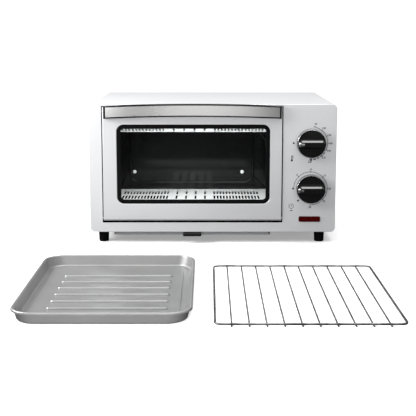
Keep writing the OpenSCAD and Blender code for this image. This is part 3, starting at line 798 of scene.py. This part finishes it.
class OVEN_OT_guards(Operator):
    """Model the slotted bright guards over and under the heaters"""

    bl_idname = "oven.guards"
    bl_label = "Heater Guards"

    def execute(self, context):
        s = context.scene.oven_sizes
        low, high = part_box("lower_guard")
        guard = block("floor_guard", low, high)
        round_edges(guard, 1.6*MM, 4, lambda e: near(middle(e).z, high.z) and not along(e, 2))
        cut(guard, block("hollow", Vector((low.x + MM, low.y + MM, low.z - MM)),
                         Vector((high.x - MM, high.y - MM, high.z - MM))))
        inside = [x for x in slot_places() if -152.5 < x < 91.5]
        half = s.slot_width/2/MM
        cut(guard, row(slot_cutter(inside, half, 48, 82, 40, 45), 4, (0, 44*MM, 0)))
        soften(guard, 0.2*MM, 1, 60)
        place(guard, "casing", "guard_sheet", "lower_guard")

        low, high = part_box("upper_guard")
        slope_z, flat_z = at(0, 0, 176.5).z, at(0, 0, 163.5).z
        fold_y = at(0, 57, 0).y
        guard = block("roof_guard", Vector((low.x, low.y, flat_z)), Vector((high.x, high.y, flat_z + MM)))
        pick(guard, "FACE", lambda f: True)
        bpy.ops.mesh.bisect(plane_co=(0, fold_y, 0), plane_no=(0, 1, 0), use_fill=False)
        leave()
        pick(guard, "VERT", lambda v: near(v.co.y, low.y))
        bpy.ops.transform.translate(value=(0, 0, slope_z - flat_z))
        leave()
        cut(guard, slot_cutter(slot_places(), half, 29, 55, 160, 180))
        cut(guard, row(slot_cutter(slot_places(), half, 70, 112, 160, 168), 3, (0, 52*MM, 0)))
        place(guard, "casing", "guard_sheet", "upper_guard")
        return {"FINISHED"}


class OVEN_OT_heaters(Operator):
    """Model the heater rods with their end pins"""

    bl_idname = "oven.heaters"
    bl_label = "Heaters"

    def execute(self, context):
        for name, places in HEATER_PLACES.items():
            low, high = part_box(name)
            shapes = []
            for y, z in places:
                left = Vector((low.x, at(0, y, 0).y, z*MM))
                right = Vector((high.x, at(0, y, 0).y, z*MM))
                inward = Vector((5*MM, 0, 0))
                tube = rod("sheath", left + inward, right - inward, 4*MM, 32)
                round_edges(tube, 1.2*MM, 3, lambda e: near(middle(e).x, left.x + 5*MM, 1e-5)
                            or near(middle(e).x, right.x - 5*MM, 1e-5))
                shapes += [tube, rod("pin", left, left + 1.4*inward, 1.6*MM, 16),
                           rod("pin", right - 1.4*inward, right, 1.6*MM, 16)]
            place(gather(name.replace("heaters", "rods"), shapes), "casing", "heater_sheath", name)
        return {"FINISHED"}


# ---------- door ----------


def window_slab(name, grow, y0, y1, segments=12):
    """Window shape grown by some millimetres, from y0 to y1."""
    low, high = mm_box("door_glass")
    low = Vector((low.x + 4 - grow, y0, low.z + 4 - grow))
    high = Vector((high.x - 4 + grow, y1, high.z - 4 + grow))
    return slab(name, at(*low), at(*high), (9.5 + grow)*MM, 1, segments)


class OVEN_OT_door(Operator):
    """Model the pressed door skin, the window seal and the door screws"""

    bl_idname = "oven.door"
    bl_label = "Door"

    def execute(self, context):
        s = context.scene.oven_sizes
        low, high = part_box("door_frame")
        door = block("door_skin", low, high)
        round_edges(door, s.door_low_edge, 8,
                    lambda e: along(e, 0) and near(middle(e).y, low.y) and near(middle(e).z, low.z))
        round_edges(door, s.door_edge, 4,
                    lambda e: near(middle(e).y, low.y) and not along(e, 1)
                    and (along(e, 2) or near(middle(e).z, high.z)))
        inner = Vector((s.sheet, s.sheet, s.sheet))
        hollow = block("hollow", low + inner, Vector((high.x, high.y + 4*MM, high.z)) - inner)
        round_edges(hollow, 2*MM, 5,
                    lambda e: along(e, 0) and near(middle(e).y, low.y + s.sheet)
                    and near(middle(e).z, low.z + s.sheet))
        cut(door, hollow)
        cut(door, window_slab("window", 1.2, -6, 0.8))
        lip = 0.6*MM
        window_low, window_high = mm_box("door_glass")
        pick(door, "EDGE", lambda e: near(middle(e).y, low.y) and at(*window_low).x < middle(e).x
             < at(*window_high).x and at(*window_low).z < middle(e).z < at(*window_high).z
             and all(near(v.co.y, low.y) for v in e.verts) and len(e.link_faces) == 2
             and e.calc_face_angle(0) > 1)
        bpy.ops.mesh.bevel(offset=lip, segments=3, affect="EDGES")
        leave()
        place(door, "door", "door_silver", "door_frame")

        seal_low = -1.8
        seal = window_slab("window_gasket", 1.15, seal_low, 1)
        unite(seal, window_slab("tuck", 3.9, -0.95, 0.95))
        cut(seal, window_slab("view", -s.seal_width/MM, -4, 3))
        front = at(0, seal_low, 0).y
        pick(seal, "EDGE", lambda e: all(near(v.co.y, front) for v in e.verts)
             and e.calc_face_angle(0) > 1)
        bpy.ops.mesh.bevel(offset=0.9*MM, segments=4, affect="EDGES")
        leave()
        place(seal, "door", "black_rubber", "window_seal")

        door_low, door_high = mm_box("door_frame")
        xs = (door_low.x + 10, (door_low.x + door_high.x)/2, door_high.x - 10)
        heads = [screw_head("door_screw", x, z, door_high.y, 1)
                 for x in xs for z in (door_low.z + 13, door_high.z - 10)]
        place(gather("door_panel_screws", heads), "door", "screw_steel", "door_screws")
        return {"FINISHED"}


def bow(name, low, high, bow_depth, inset, centre_x, back_y, half):
    """Upright disc whose front edge is the handle's bow."""
    radius = (half**2 + bow_depth**2)/(2*bow_depth)
    centre_y = back_y - bow_depth + radius
    return rod(name, Vector((centre_x, centre_y, low)), Vector((centre_x, centre_y, high)),
               radius - inset, 720)


def arch(name, low_y, high_y, rise, inset, centre_x, foot_z, half):
    """Disc seen from the front whose top is the handle's arch."""
    radius = (half**2 + rise**2)/(2*rise)
    centre_z = foot_z + rise - radius
    return rod(name, Vector((centre_x, low_y, centre_z)), Vector((centre_x, high_y, centre_z)),
               radius + inset, 720)


class OVEN_OT_handle(Operator):
    """Model the bowed black handle and the brushed plate set into it"""

    bl_idname = "oven.handle"
    bl_label = "Handle"

    def bar(self, name, low, high, s, side, rim, depth):
        """Bowed and arched bar, inset from the handle's outline by side, rim and depth."""
        half = (high.x - low.x)/2
        centre_x = (low.x + high.x)/2
        height = high.z - low.z - s.handle_arch
        end_y = low.y + s.handle_bow
        shape = block(name, Vector((low.x + side, low.y - 2*MM, low.z - 2*MM)),
                      Vector((high.x - side, high.y, high.z + 2*MM)))
        common(shape, arch("over", low.y - 5*MM, high.y + 5*MM, s.handle_arch, -rim,
                           centre_x, low.z + height, half))
        cut(shape, arch("under", low.y - 5*MM, high.y + 5*MM, s.handle_arch, rim,
                        centre_x, low.z, half))
        common(shape, bow("front", low.z - 9*MM, high.z + 9*MM, s.handle_bow, depth,
                          centre_x, end_y, half))
        return shape

    def execute(self, context):
        s = context.scene.oven_sizes
        low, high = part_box("handle_body")
        half = (high.x - low.x)/2
        centre_x = (low.x + high.x)/2
        end_y = low.y + s.handle_bow
        grip = self.bar("handle_grip", low, high, s, 0, 0, 0)
        inner = s.handle_bow - 2.5*MM
        gap = bow("gap", low.z - 9*MM, high.z + 9*MM, inner, 0, centre_x, high.y, half - 17*MM)
        cut(grip, gap)
        recess = self.bar("recess", low, high, s, 2.7*MM, s.handle_rim, -2*MM)
        cut(recess, bow("floor", low.z - 9*MM, high.z + 9*MM, s.handle_bow, MM, centre_x, end_y, half))
        cut(grip, recess)
        soften(grip, 0.45*MM, 3, 50)
        place(grip, "door", "gloss_black", "handle_body", smooth=30)

        plate = self.bar("handle_inlay", low, high, s, 2.75*MM, s.handle_rim + 0.05*MM, 0.2*MM)
        cut(plate, bow("back", low.z - 9*MM, high.z + 9*MM, s.handle_bow, MM, centre_x, end_y, half))
        place(plate, "door", "brushed_plate", "handle_plate", smooth=30)
        return {"FINISHED"}


# ---------- controls ----------


class OVEN_OT_knobs(Operator):
    """Model the two gloss black knobs with their trim rings and index marks"""

    bl_idname = "oven.knobs"
    bl_label = "Knobs"

    def execute(self, context):
        s = context.scene.oven_sizes
        low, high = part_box("thermostat_knob")
        centre = (low + high)/2
        radius = (high.x - low.x)/2
        front = Vector((centre.x, high.y - 11*MM, centre.z))
        back = Vector((centre.x, high.y, centre.z))
        trim = radius - 1.1*MM
        knob = rod("thermostat_dial_knob", front, back, radius, 96)
        round_edges(knob, 0.9*MM, 3, lambda e: all(near(v.co.y, back.y) for v in e.verts))
        pick(knob, "FACE", lambda f: f.normal.y < -0.99)
        bpy.ops.mesh.inset(thickness=1.1*MM)
        bpy.ops.mesh.extrude_region_move(TRANSFORM_OT_translate={"value": (0, 1.2*MM, 0)})
        bpy.ops.mesh.inset(thickness=1.6*MM)
        leave()
        step = rod("step", front - Vector((0, MM, 0)), front + Vector((0, 2.5*MM, 0)), radius + MM, 96)
        cut(step, rod("core", front - Vector((0, 2*MM, 0)), front + Vector((0, 4*MM, 0)), trim, 96))
        cut(knob, step)
        reach = trim - 0.6*MM
        half = s.grip_width/2
        grip = slab("grip", Vector((centre.x - reach, low.y, centre.z - half)),
                    Vector((centre.x + reach, front.y + 2*MM, centre.z + half)), half - 0.1*MM, 1, 12)
        soften(grip, 2.4*MM, 1, 50)
        unite(knob, grip)
        cut(knob, rod("shaft", back - Vector((0, 9*MM, 0)), back + Vector((0, MM, 0)), 3*MM, 32))

        ring = rod("thermostat_trim_ring", front - Vector((0, 0.4*MM, 0)),
                   front + Vector((0, 2.5*MM, 0)), radius - 0.2*MM, 96)
        cut(ring, rod("hole", front - Vector((0, 3*MM, 0)), front + Vector((0, 5*MM, 0)), trim, 96))
        soften(ring, 0.3*MM, 3, 50)

        end = centre.x - reach
        tip = end - 0.25*MM
        face = low.y - 0.02*MM
        mark_half = 3.1*MM
        mark = slab("thermostat_index", Vector((tip, face, centre.z - mark_half)),
                    Vector((end + 8*MM, low.y + 8*MM, centre.z + mark_half)), 1.6*MM, 0, 5)
        round_edges(mark, 1.3*MM, 5, lambda e: along(e, 2) and near(middle(e).x, tip)
                    and near(middle(e).y, face))
        groove = block("groove", Vector((end + 3.2*MM, low.y - MM, centre.z - 5*MM)),
                       Vector((end + 4.2*MM, low.y + 0.7*MM, centre.z + 5*MM)))
        cut(mark, groove)
        soften(mark, 0.2*MM, 2, 50)

        other = sum(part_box("timer_knob"), Vector())/2 - centre
        thermostat = (knob, ring, mark)
        timer = [twin(piece, piece.name.replace("thermostat", "timer"), other) for piece in thermostat]
        for control, pieces in (("thermostat", thermostat), ("timer", timer)):
            body = control + "_dial"
            place(pieces[0], body, "gloss_black", control + "_knob")
            place(pieces[1], body, "bright_trim", control + "_knob_trim")
            place(pieces[2], body, "bright_trim")
        return {"FINISHED"}


def clock(centre, radius, degrees):
    """Point at that many degrees clockwise from twelve, around a centre in millimetres."""
    turn = math.radians(degrees)
    return centre[0] + radius*math.sin(turn), centre[1] + radius*math.cos(turn)


class OVEN_OT_scales(Operator):
    """Print the two scales, their numbers and signs on the front panel"""

    bl_idname = "oven.scales"
    bl_label = "Scales"

    def number(self, text, x, z, size, ink):
        drop_selection()
        bpy.ops.object.text_add(location=at(x, 0.02, z), rotation=(math.pi/2, 0, 0))
        word = bpy.context.object
        word.data.body = text
        word.data.size = size
        word.data.align_x = "CENTER"
        word.data.align_y = "CENTER"
        word.data.extrude = ink
        word.data.offset = 0.12*MM
        word.data.resolution_u = 3
        bpy.ops.object.convert(target="MESH")
        return settle("number")

    def band(self, centre, start, end, inner, outer, ink):
        """Printed arc between two angles, wider or narrower at its ends."""
        count = max(2, int(abs(end - start)/4))
        strip = []
        for i in range(count + 1):
            share = i/count
            angle = start + (end - start)*share
            strip.append((clock(centre, inner[0] + (inner[1] - inner[0])*share, angle),
                          clock(centre, outer[0] + (outer[1] - outer[0])*share, angle)))
        outline = [a for a, b in strip] + [b for a, b in reversed(strip)]
        drop_selection()
        bpy.ops.mesh.primitive_circle_add(vertices=len(outline), radius=MM, fill_type="NOTHING",
                                          location=(0, 0, 0))
        arc = settle("arc")
        for vertex, (x, z) in zip(arc.data.vertices, outline):
            vertex.co = at(x, 0.02, z)
        pick(arc, "EDGE", lambda e: True)
        bpy.ops.mesh.fill()
        leave()
        applied(arc, "SOLIDIFY", thickness=ink + 0.02*MM, offset=0)
        return arc

    def dial(self, knob):
        """Middle of a knob in millimetres, seen from the front."""
        low, high = mm_box(knob)
        return (low.x + high.x)/2, (low.z + high.z)/2

    def dot(self, x, z, radius, ink):
        return rod("dot", at(x, 0.02, z), at(x, 0, z) - Vector((0, ink, 0)), radius*MM, 24)

    def execute(self, context):
        s = context.scene.oven_sizes
        ink = s.ink
        marks = []
        heat, time = (self.dial(knob) for knob in ("thermostat_knob", "timer_knob"))
        marks.append(self.dot(*clock(heat, 26.0, 270), 1.5, ink))
        marks.append(self.band(heat, 8, 118, (24.5, 24.5), (25.2, 25.2), ink))
        for text, angle in (("70", 13), ("100", 40), ("130", 66), ("160", 91), ("190", 114),
                            ("210", 139), ("230", 183)):
            x, z = clock(heat, 29.2 if angle < 180 else 28.6, angle)
            marks.append(self.number(text, x, z, s.number_size, ink))
            marks.append(self.band(heat, angle - 0.9, angle + 0.9, (24.2, 24.2), (26.6, 26.6), ink))
        for angle, thick in ((112, 0.8), (128, 1.1), (141, 1.4), (154, 1.7), (167, 2.0)):
            marks.append(self.band(heat, angle - 4, angle + 5, (24.9 - thick/2, 24.9 - thick/2),
                                   (24.9 + thick/2, 25.0 + thick/2), ink))
        marks.append(self.band(heat, 176, 184, (23.4, 23.4), (26.8, 26.8), ink))

        marks.append(self.dot(*clock(time, 26.0, 270), 1.5, ink))
        marks.append(self.dot(*clock(time, 26.2, 225), 1.5, ink))
        marks.append(self.band(time, 275, 540, (24.9, 24.9), (25.6, 25.6), ink))
        for text, angle in (("5", 315), ("10", 0), ("15", 47), ("20", 91), ("25", 133), ("30", 181)):
            x, z = clock(time, 28.8, angle)
            marks.append(self.number(text, x, z, s.number_size, ink))
            marks.append(self.band(time, angle - 1.2, angle + 1.2, (24.2, 24.2), (26.4, 26.4), ink))

        bulb = (118.6, 127.0)
        marks.append(self.dot(*bulb, 1.7, ink))
        marks.append(self.band((bulb[0], bulb[1] - 400), -0.11, 0.11, (400, 400), (407.4, 407.4), ink))
        for step in (3.4, 5.2, 7.0):
            marks.append(self.band((bulb[0] + 1.9, bulb[1] - 400), -0.13, 0.13,
                                   (399.7 + step, 399.7 + step), (400.2 + step, 400.2 + step), ink))
        face = (118.4, 57.2)
        marks.append(self.band(face, 0, 360, (3.1, 3.1), (3.8, 3.8), ink))
        marks.append(self.dot(*face, 0.7, ink))
        marks.append(self.band((face[0], face[1] - 400), -0.045, 0.045, (400, 400), (402.6, 402.6), ink))
        marks.append(self.number("min", face[0], face[1] - 6.6, 2.9*MM, ink))
        place(gather("printed_scales", marks), "casing", "dial_ink")
        return {"FINISHED"}


class OVEN_OT_lens(Operator):
    """Model the red indicator lens"""

    bl_idname = "oven.lens"
    bl_label = "Indicator Lens"

    def execute(self, context):
        low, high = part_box("indicator_lens")
        rim = 1.7*MM
        lens = slab("red_window", Vector((low.x + rim, low.y, low.z + rim)),
                    Vector((high.x - rim, high.y, high.z - rim)), 1.8*MM, 1, 6)
        round_edges(lens, 0.7*MM, 4, lambda e: near(middle(e).y, low.y) and not along(e, 1))
        unite(lens, slab("shoulder", Vector((low.x, at(0, 1.2, 0).y, low.z)), high, 2*MM, 1, 6))
        place(lens, "casing", "red_lens", "indicator_lens")
        return {"FINISHED"}


# ---------- trays and rack ----------


class OVEN_OT_crumb_tray(Operator):
    """Model the crumb tray and its black pull tab"""

    bl_idname = "oven.crumb_tray"
    bl_label = "Crumb Tray"

    def execute(self, context):
        low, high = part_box("crumb_tray")
        tray = block("crumb_pan", low, high)
        round_edges(tray, 2.5*MM, 5, lambda e: along(e, 2))
        wall = Vector((0.8*MM, 0.8*MM, 0.8*MM))
        inside = block("inside", low + wall, Vector((high.x, high.y, high.z + 9*MM)) - wall)
        round_edges(inside, 1.7*MM, 5, lambda e: along(e, 2))
        cut(tray, inside)
        soften(tray, 0.2*MM, 2, 50)
        place(tray, "crumb_drawer", "plated_sheet", "crumb_tray")

        low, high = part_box("crumb_tray_tab")
        tab = block("pull_tab", low, high)
        round_edges(tab, 2.4*MM, 6, lambda e: along(e, 2) and near(middle(e).y, low.y))
        cut(tab, slab("scoop", Vector((low.x + 4*MM, low.y + 1.6*MM, high.z - 1.0*MM)),
                      Vector((high.x - 4*MM, low.y + 5.4*MM, high.z + 3*MM)), 1.8*MM, 2, 6))
        soften(tab, 0.6*MM, 3, 50)
        place(tab, "crumb_drawer", "black_plastic", "crumb_tray_tab")
        return {"FINISHED"}


class OVEN_OT_baking_tray(Operator):
    """Model the ribbed baking tray with its rolled rim"""

    bl_idname = "oven.baking_tray"
    bl_label = "Baking Tray"

    def execute(self, context):
        s = context.scene.oven_sizes
        low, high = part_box("baking_tray")
        rim = 2.3*MM
        lip = Vector((s.tray_sheet, s.tray_sheet, 0))
        wall = Vector((rim, rim, 0))
        top = high.z - s.tray_sheet
        corner = 25*MM
        tray = slab("ribbed_tray", low + wall, Vector((high.x - rim, high.y - rim, top)), corner, 2, 14)
        pick(tray, "FACE", lambda f: f.normal.z < -0.99)
        bpy.ops.transform.resize(value=(0.965, 0.973, 1))
        leave()
        round_edges(tray, 2.6*MM, 4, lambda e: all(near(v.co.z, low.z) for v in e.verts))
        pick(tray, "FACE", lambda f: f.normal.z > 0.99)
        bpy.ops.mesh.delete(type="ONLY_FACE")
        leave()
        size = high - low
        grow = [(size[i] - 2*lip[i])/(size[i] - 2*wall[i]) for i in (0, 1)]
        pick(tray, "EDGE", lambda e: all(near(v.co.z, top) for v in e.verts))
        bpy.ops.mesh.extrude_edges_move()
        bpy.ops.transform.resize(value=(*grow, 1))
        bpy.ops.mesh.extrude_edges_move(TRANSFORM_OT_translate={"value": (0, 0, -1.8*MM)})
        leave()
        round_edges(tray, 0.6*MM, 4, lambda e: all(near(v.co.z, top) for v in e.verts)
                    and e.calc_face_angle(0) > 0.9)
        applied(tray, "SOLIDIFY", thickness=s.tray_sheet, offset=-1, use_even_offset=True)
        step = Vector((15*MM, 15*MM, 0))
        field_top = 1.9*MM
        field = slab("field", low + step + Vector((0, 0, 0.5*MM)),
                     Vector((high.x, high.y, field_top)) - step, 14*MM, 2, 12)
        round_edges(field, 0.7*MM, 4, lambda e: all(near(v.co.z, field_top) for v in e.verts))
        rib_left, rib_right = at(-194.3, 0, 0).x, at(-53.5, 0, 0).x
        rib_half, rib_top = 3.6*MM, 4.2*MM
        first_rib, rib_pitch = 64.2*MM, 27.84*MM
        shapes = []
        for i in range(s.tray_ribs):
            y = high.y - first_rib - rib_pitch*i
            rib = block("rib", Vector((rib_left, y - rib_half, -2.2*MM)),
                        Vector((rib_right, y + rib_half, rib_top)))
            round_edges(rib, 3.5*MM, 8, lambda e: along(e, 2))
            round_edges(rib, 2.4*MM, 6, lambda e: all(near(v.co.z, rib_top) for v in e.verts))
            shapes.append(rib)
        ribs = gather("ribs", shapes)
        cut(ribs, block("under", Vector((low.x, low.y, -0.01)), Vector((high.x, high.y, 0.6*MM))))
        unite(tray, field, ribs)
        place(tray, "baking_tray_body", "tray_aluminium", "baking_tray", smooth=40)
        return {"FINISHED"}


class OVEN_OT_rack(Operator):
    """Model the wire rack: a round-cornered frame with bars welded under it"""

    bl_idname = "oven.rack"
    bl_label = "Wire Rack"

    def execute(self, context):
        s = context.scene.oven_sizes
        low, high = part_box("rack_frame")
        radius = (high.z - low.z)/2
        bar_low, bar_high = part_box("rack_bars")
        frame_wire = wire_loop("rack_loop", (low + high)/2, high.x - low.x - 2*radius,
                               high.y - low.y - 2*radius, 7.7*MM, radius)
        place(frame_wire, "wire_rack", "rack_wire", "rack_frame", smooth=60)

        bar_r = (bar_high.z - bar_low.z)/2
        left = bar_low.x + bar_r
        pitch = (bar_high.x - bar_low.x - 2*bar_r)/(s.rack_bars - 1)
        bar = rod("rack_rods", Vector((left, bar_low.y, bar_r)), Vector((left, bar_high.y, bar_r)), bar_r, 16)
        round_edges(bar, 0.45*MM, 3, lambda e: not along(e, 1))
        row(bar, s.rack_bars, (pitch, 0, 0))
        place(bar, "wire_rack", "rack_wire", "rack_bars", smooth=60)
        return {"FINISHED"}


# ---------- stage ----------


# Name, place and aim in millimetres, width and height in metres, watts, seen in reflections
LIGHTS = (
    ("softbox_left", (-580, -250, 380), (-20, 0, 110), (0.35, 0.3), 6.6, True),
    ("strip_top", (150, -134, 1000), (120, -20, 150), (0.6, 0.2), 4.2, True),
    ("tray_fill", (-126, -640, 70), (-126, -390, 5), (0.3, 0.1), 2.4, False),
    ("cavity_top", (-30, 29, 160), (-30, 55, 43), (0.2, 0.02), 0.65, False),
    ("cavity_low", (-30, 21, 52), (-30, 60, 160), (0.2, 0.01), 0.3, False),
    ("cavity_back", (-10, 120, 158), (-30, 235, 80), (0.2, 0.04), 0.35, True),
)
CAMERA_PLACE = (-7.06, -1351.7, 322.1)
CAMERA_TILT = 81.93


class OVEN_OT_stage(Operator):
    """Set up the pale floor, the soft lights and the camera"""

    bl_idname = "oven.stage"
    bl_label = "Stage"

    def light(self, name, spot, aim, size, power, shiny):
        drop_selection()
        bpy.ops.object.light_add(type="AREA", location=at(*spot))
        lamp = bpy.context.object
        lamp.name = name
        lamp.data.name = name
        lamp.data.shape = "RECTANGLE"
        lamp.data.size, lamp.data.size_y = size
        lamp.data.energy = power
        lamp.rotation_euler = (at(*aim) - at(*spot)).to_track_quat("-Z", "Y").to_euler()
        lamp.visible_camera = False
        lamp.visible_glossy = shiny
        return lamp

    def sky(self, scene):
        """White backdrop, and around it a studio that is bright above and in front."""
        world = bpy.data.worlds.new("studio")
        scene.world = world
        world.use_nodes = True
        tree = world.node_tree
        tree.nodes.clear()

        def add(kind, settings=None, sockets=None):
            node = tree.nodes.new(kind)
            for key, value in (settings or {}).items():
                setattr(node, key, value)
            for key, value in (sockets or {}).items():
                if isinstance(value, bpy.types.NodeSocket):
                    tree.links.new(value, node.inputs[key])
                else:
                    node.inputs[key].default_value = value
            return node.outputs

        way = add("ShaderNodeTexCoord")["Generated"]
        above = add("ShaderNodeVectorMath", {"operation": "DOT_PRODUCT"}, {0: way, 1: (0, 0, 1)})
        ahead = add("ShaderNodeVectorMath", {"operation": "DOT_PRODUCT"},
                    {0: way, 1: Vector((0.08, -1, -0.05)).normalized()})
        smooth = {"interpolation_type": "SMOOTHSTEP"}
        top = add("ShaderNodeMapRange", smooth, {"Value": above["Value"], "From Min": 0.15,
                  "From Max": 0.85, "To Min": 0.14, "To Max": 1.15})
        front = add("ShaderNodeMapRange", smooth, {"Value": ahead["Value"], "From Min": 0.85,
                    "From Max": 0.998, "To Min": 0.0, "To Max": 1.2})
        level = add("ShaderNodeMath", {"operation": "ADD"}, {0: top[0], 1: front[0]})
        studio = add("ShaderNodeBackground", None, {"Color": (1, 1, 1, 1), "Strength": level[0]})
        white = add("ShaderNodeBackground", None, {"Color": (1, 1, 1, 1), "Strength": 1.2})
        seen = add("ShaderNodeLightPath")["Is Camera Ray"]
        both = add("ShaderNodeMixShader", None, {0: seen, 1: studio[0], 2: white[0]})
        add("ShaderNodeOutputWorld", None, {"Surface": both[0]})

    def execute(self, context):
        scene = context.scene
        drop_selection()
        bpy.ops.mesh.primitive_plane_add(size=60, location=(0, 0, -0.0002))
        floor = settle("floor")
        f = Finish("floor_paper")
        floor.data.materials.append(f.close(f.surface(
            Base_Color=f.blend(f.noise(400*MM), rgba(0.84), rgba(0.86)), Roughness=0.9,
            Specular_IOR_Level=0.0, Emission_Color=rgba(1.0), Emission_Strength=0.3)))
        floor.visible_diffuse = False
        floor.visible_glossy = False
        drop_selection()
        bpy.ops.mesh.primitive_plane_add(size=2.6, location=at(0, -600, -1))
        table = settle("bounce_card")
        f = Finish("bounce_paper")
        table.data.materials.append(f.close(f.surface(
            Base_Color=f.blend(f.noise(400*MM), rgba(0.1), rgba(0.11)), Roughness=0.9,
            Specular_IOR_Level=0.0)))
        table.visible_camera = False
        self.sky(scene)

        for lamp in LIGHTS:
            self.light(*lamp)

        bpy.ops.object.camera_add(location=at(*CAMERA_PLACE),
                                  rotation=(math.radians(CAMERA_TILT), 0, 0))
        camera = bpy.context.object
        camera.name = "camera"
        camera.data.lens = 78.9
        camera.data.sensor_width = 36
        camera.data.shift_y = -0.12
        camera.data.clip_end = 200
        scene.camera = camera
        scene.view_settings.view_transform = "Standard"
        return {"FINISHED"}


class OVEN_PT_panel(Panel):
    """Lists the steps that build the oven"""

    bl_idname = "OVEN_PT_panel"
    bl_label = "Toaster Oven"
    bl_space_type = "VIEW_3D"
    bl_region_type = "UI"
    bl_category = "Oven"

    def draw(self, context):
        layout = self.layout
        for group in (context.scene.oven_sizes, context.scene.oven_colours):
            box = layout.box()
            for name in group.__annotations__:
                box.prop(group, name)
        for step in STEPS:
            layout.operator(step.bl_idname)


STEPS = (
    OVEN_OT_finishes, OVEN_OT_cabinet, OVEN_OT_front_panel, OVEN_OT_back, OVEN_OT_feet,
    OVEN_OT_interior, OVEN_OT_guards, OVEN_OT_heaters, OVEN_OT_door, OVEN_OT_handle,
    OVEN_OT_knobs, OVEN_OT_scales, OVEN_OT_lens, OVEN_OT_crumb_tray, OVEN_OT_baking_tray,
    OVEN_OT_rack, OVEN_OT_stage,
)
GROUPS = (OvenSizes, OvenColours)


def register():
    for item in GROUPS + STEPS + (OVEN_PT_panel,):
        bpy.utils.register_class(item)
    bpy.types.Scene.oven_sizes = PointerProperty(type=OvenSizes)
    bpy.types.Scene.oven_colours = PointerProperty(type=OvenColours)


def unregister():
    del bpy.types.Scene.oven_colours
    del bpy.types.Scene.oven_sizes
    for item in reversed(GROUPS + STEPS + (OVEN_PT_panel,)):
        bpy.utils.unregister_class(item)


def main():
    register()
    for step in STEPS:
        group, name = step.bl_idname.split(".")
        getattr(getattr(bpy.ops, group), name)()


if __name__ == "__main__":
    main()
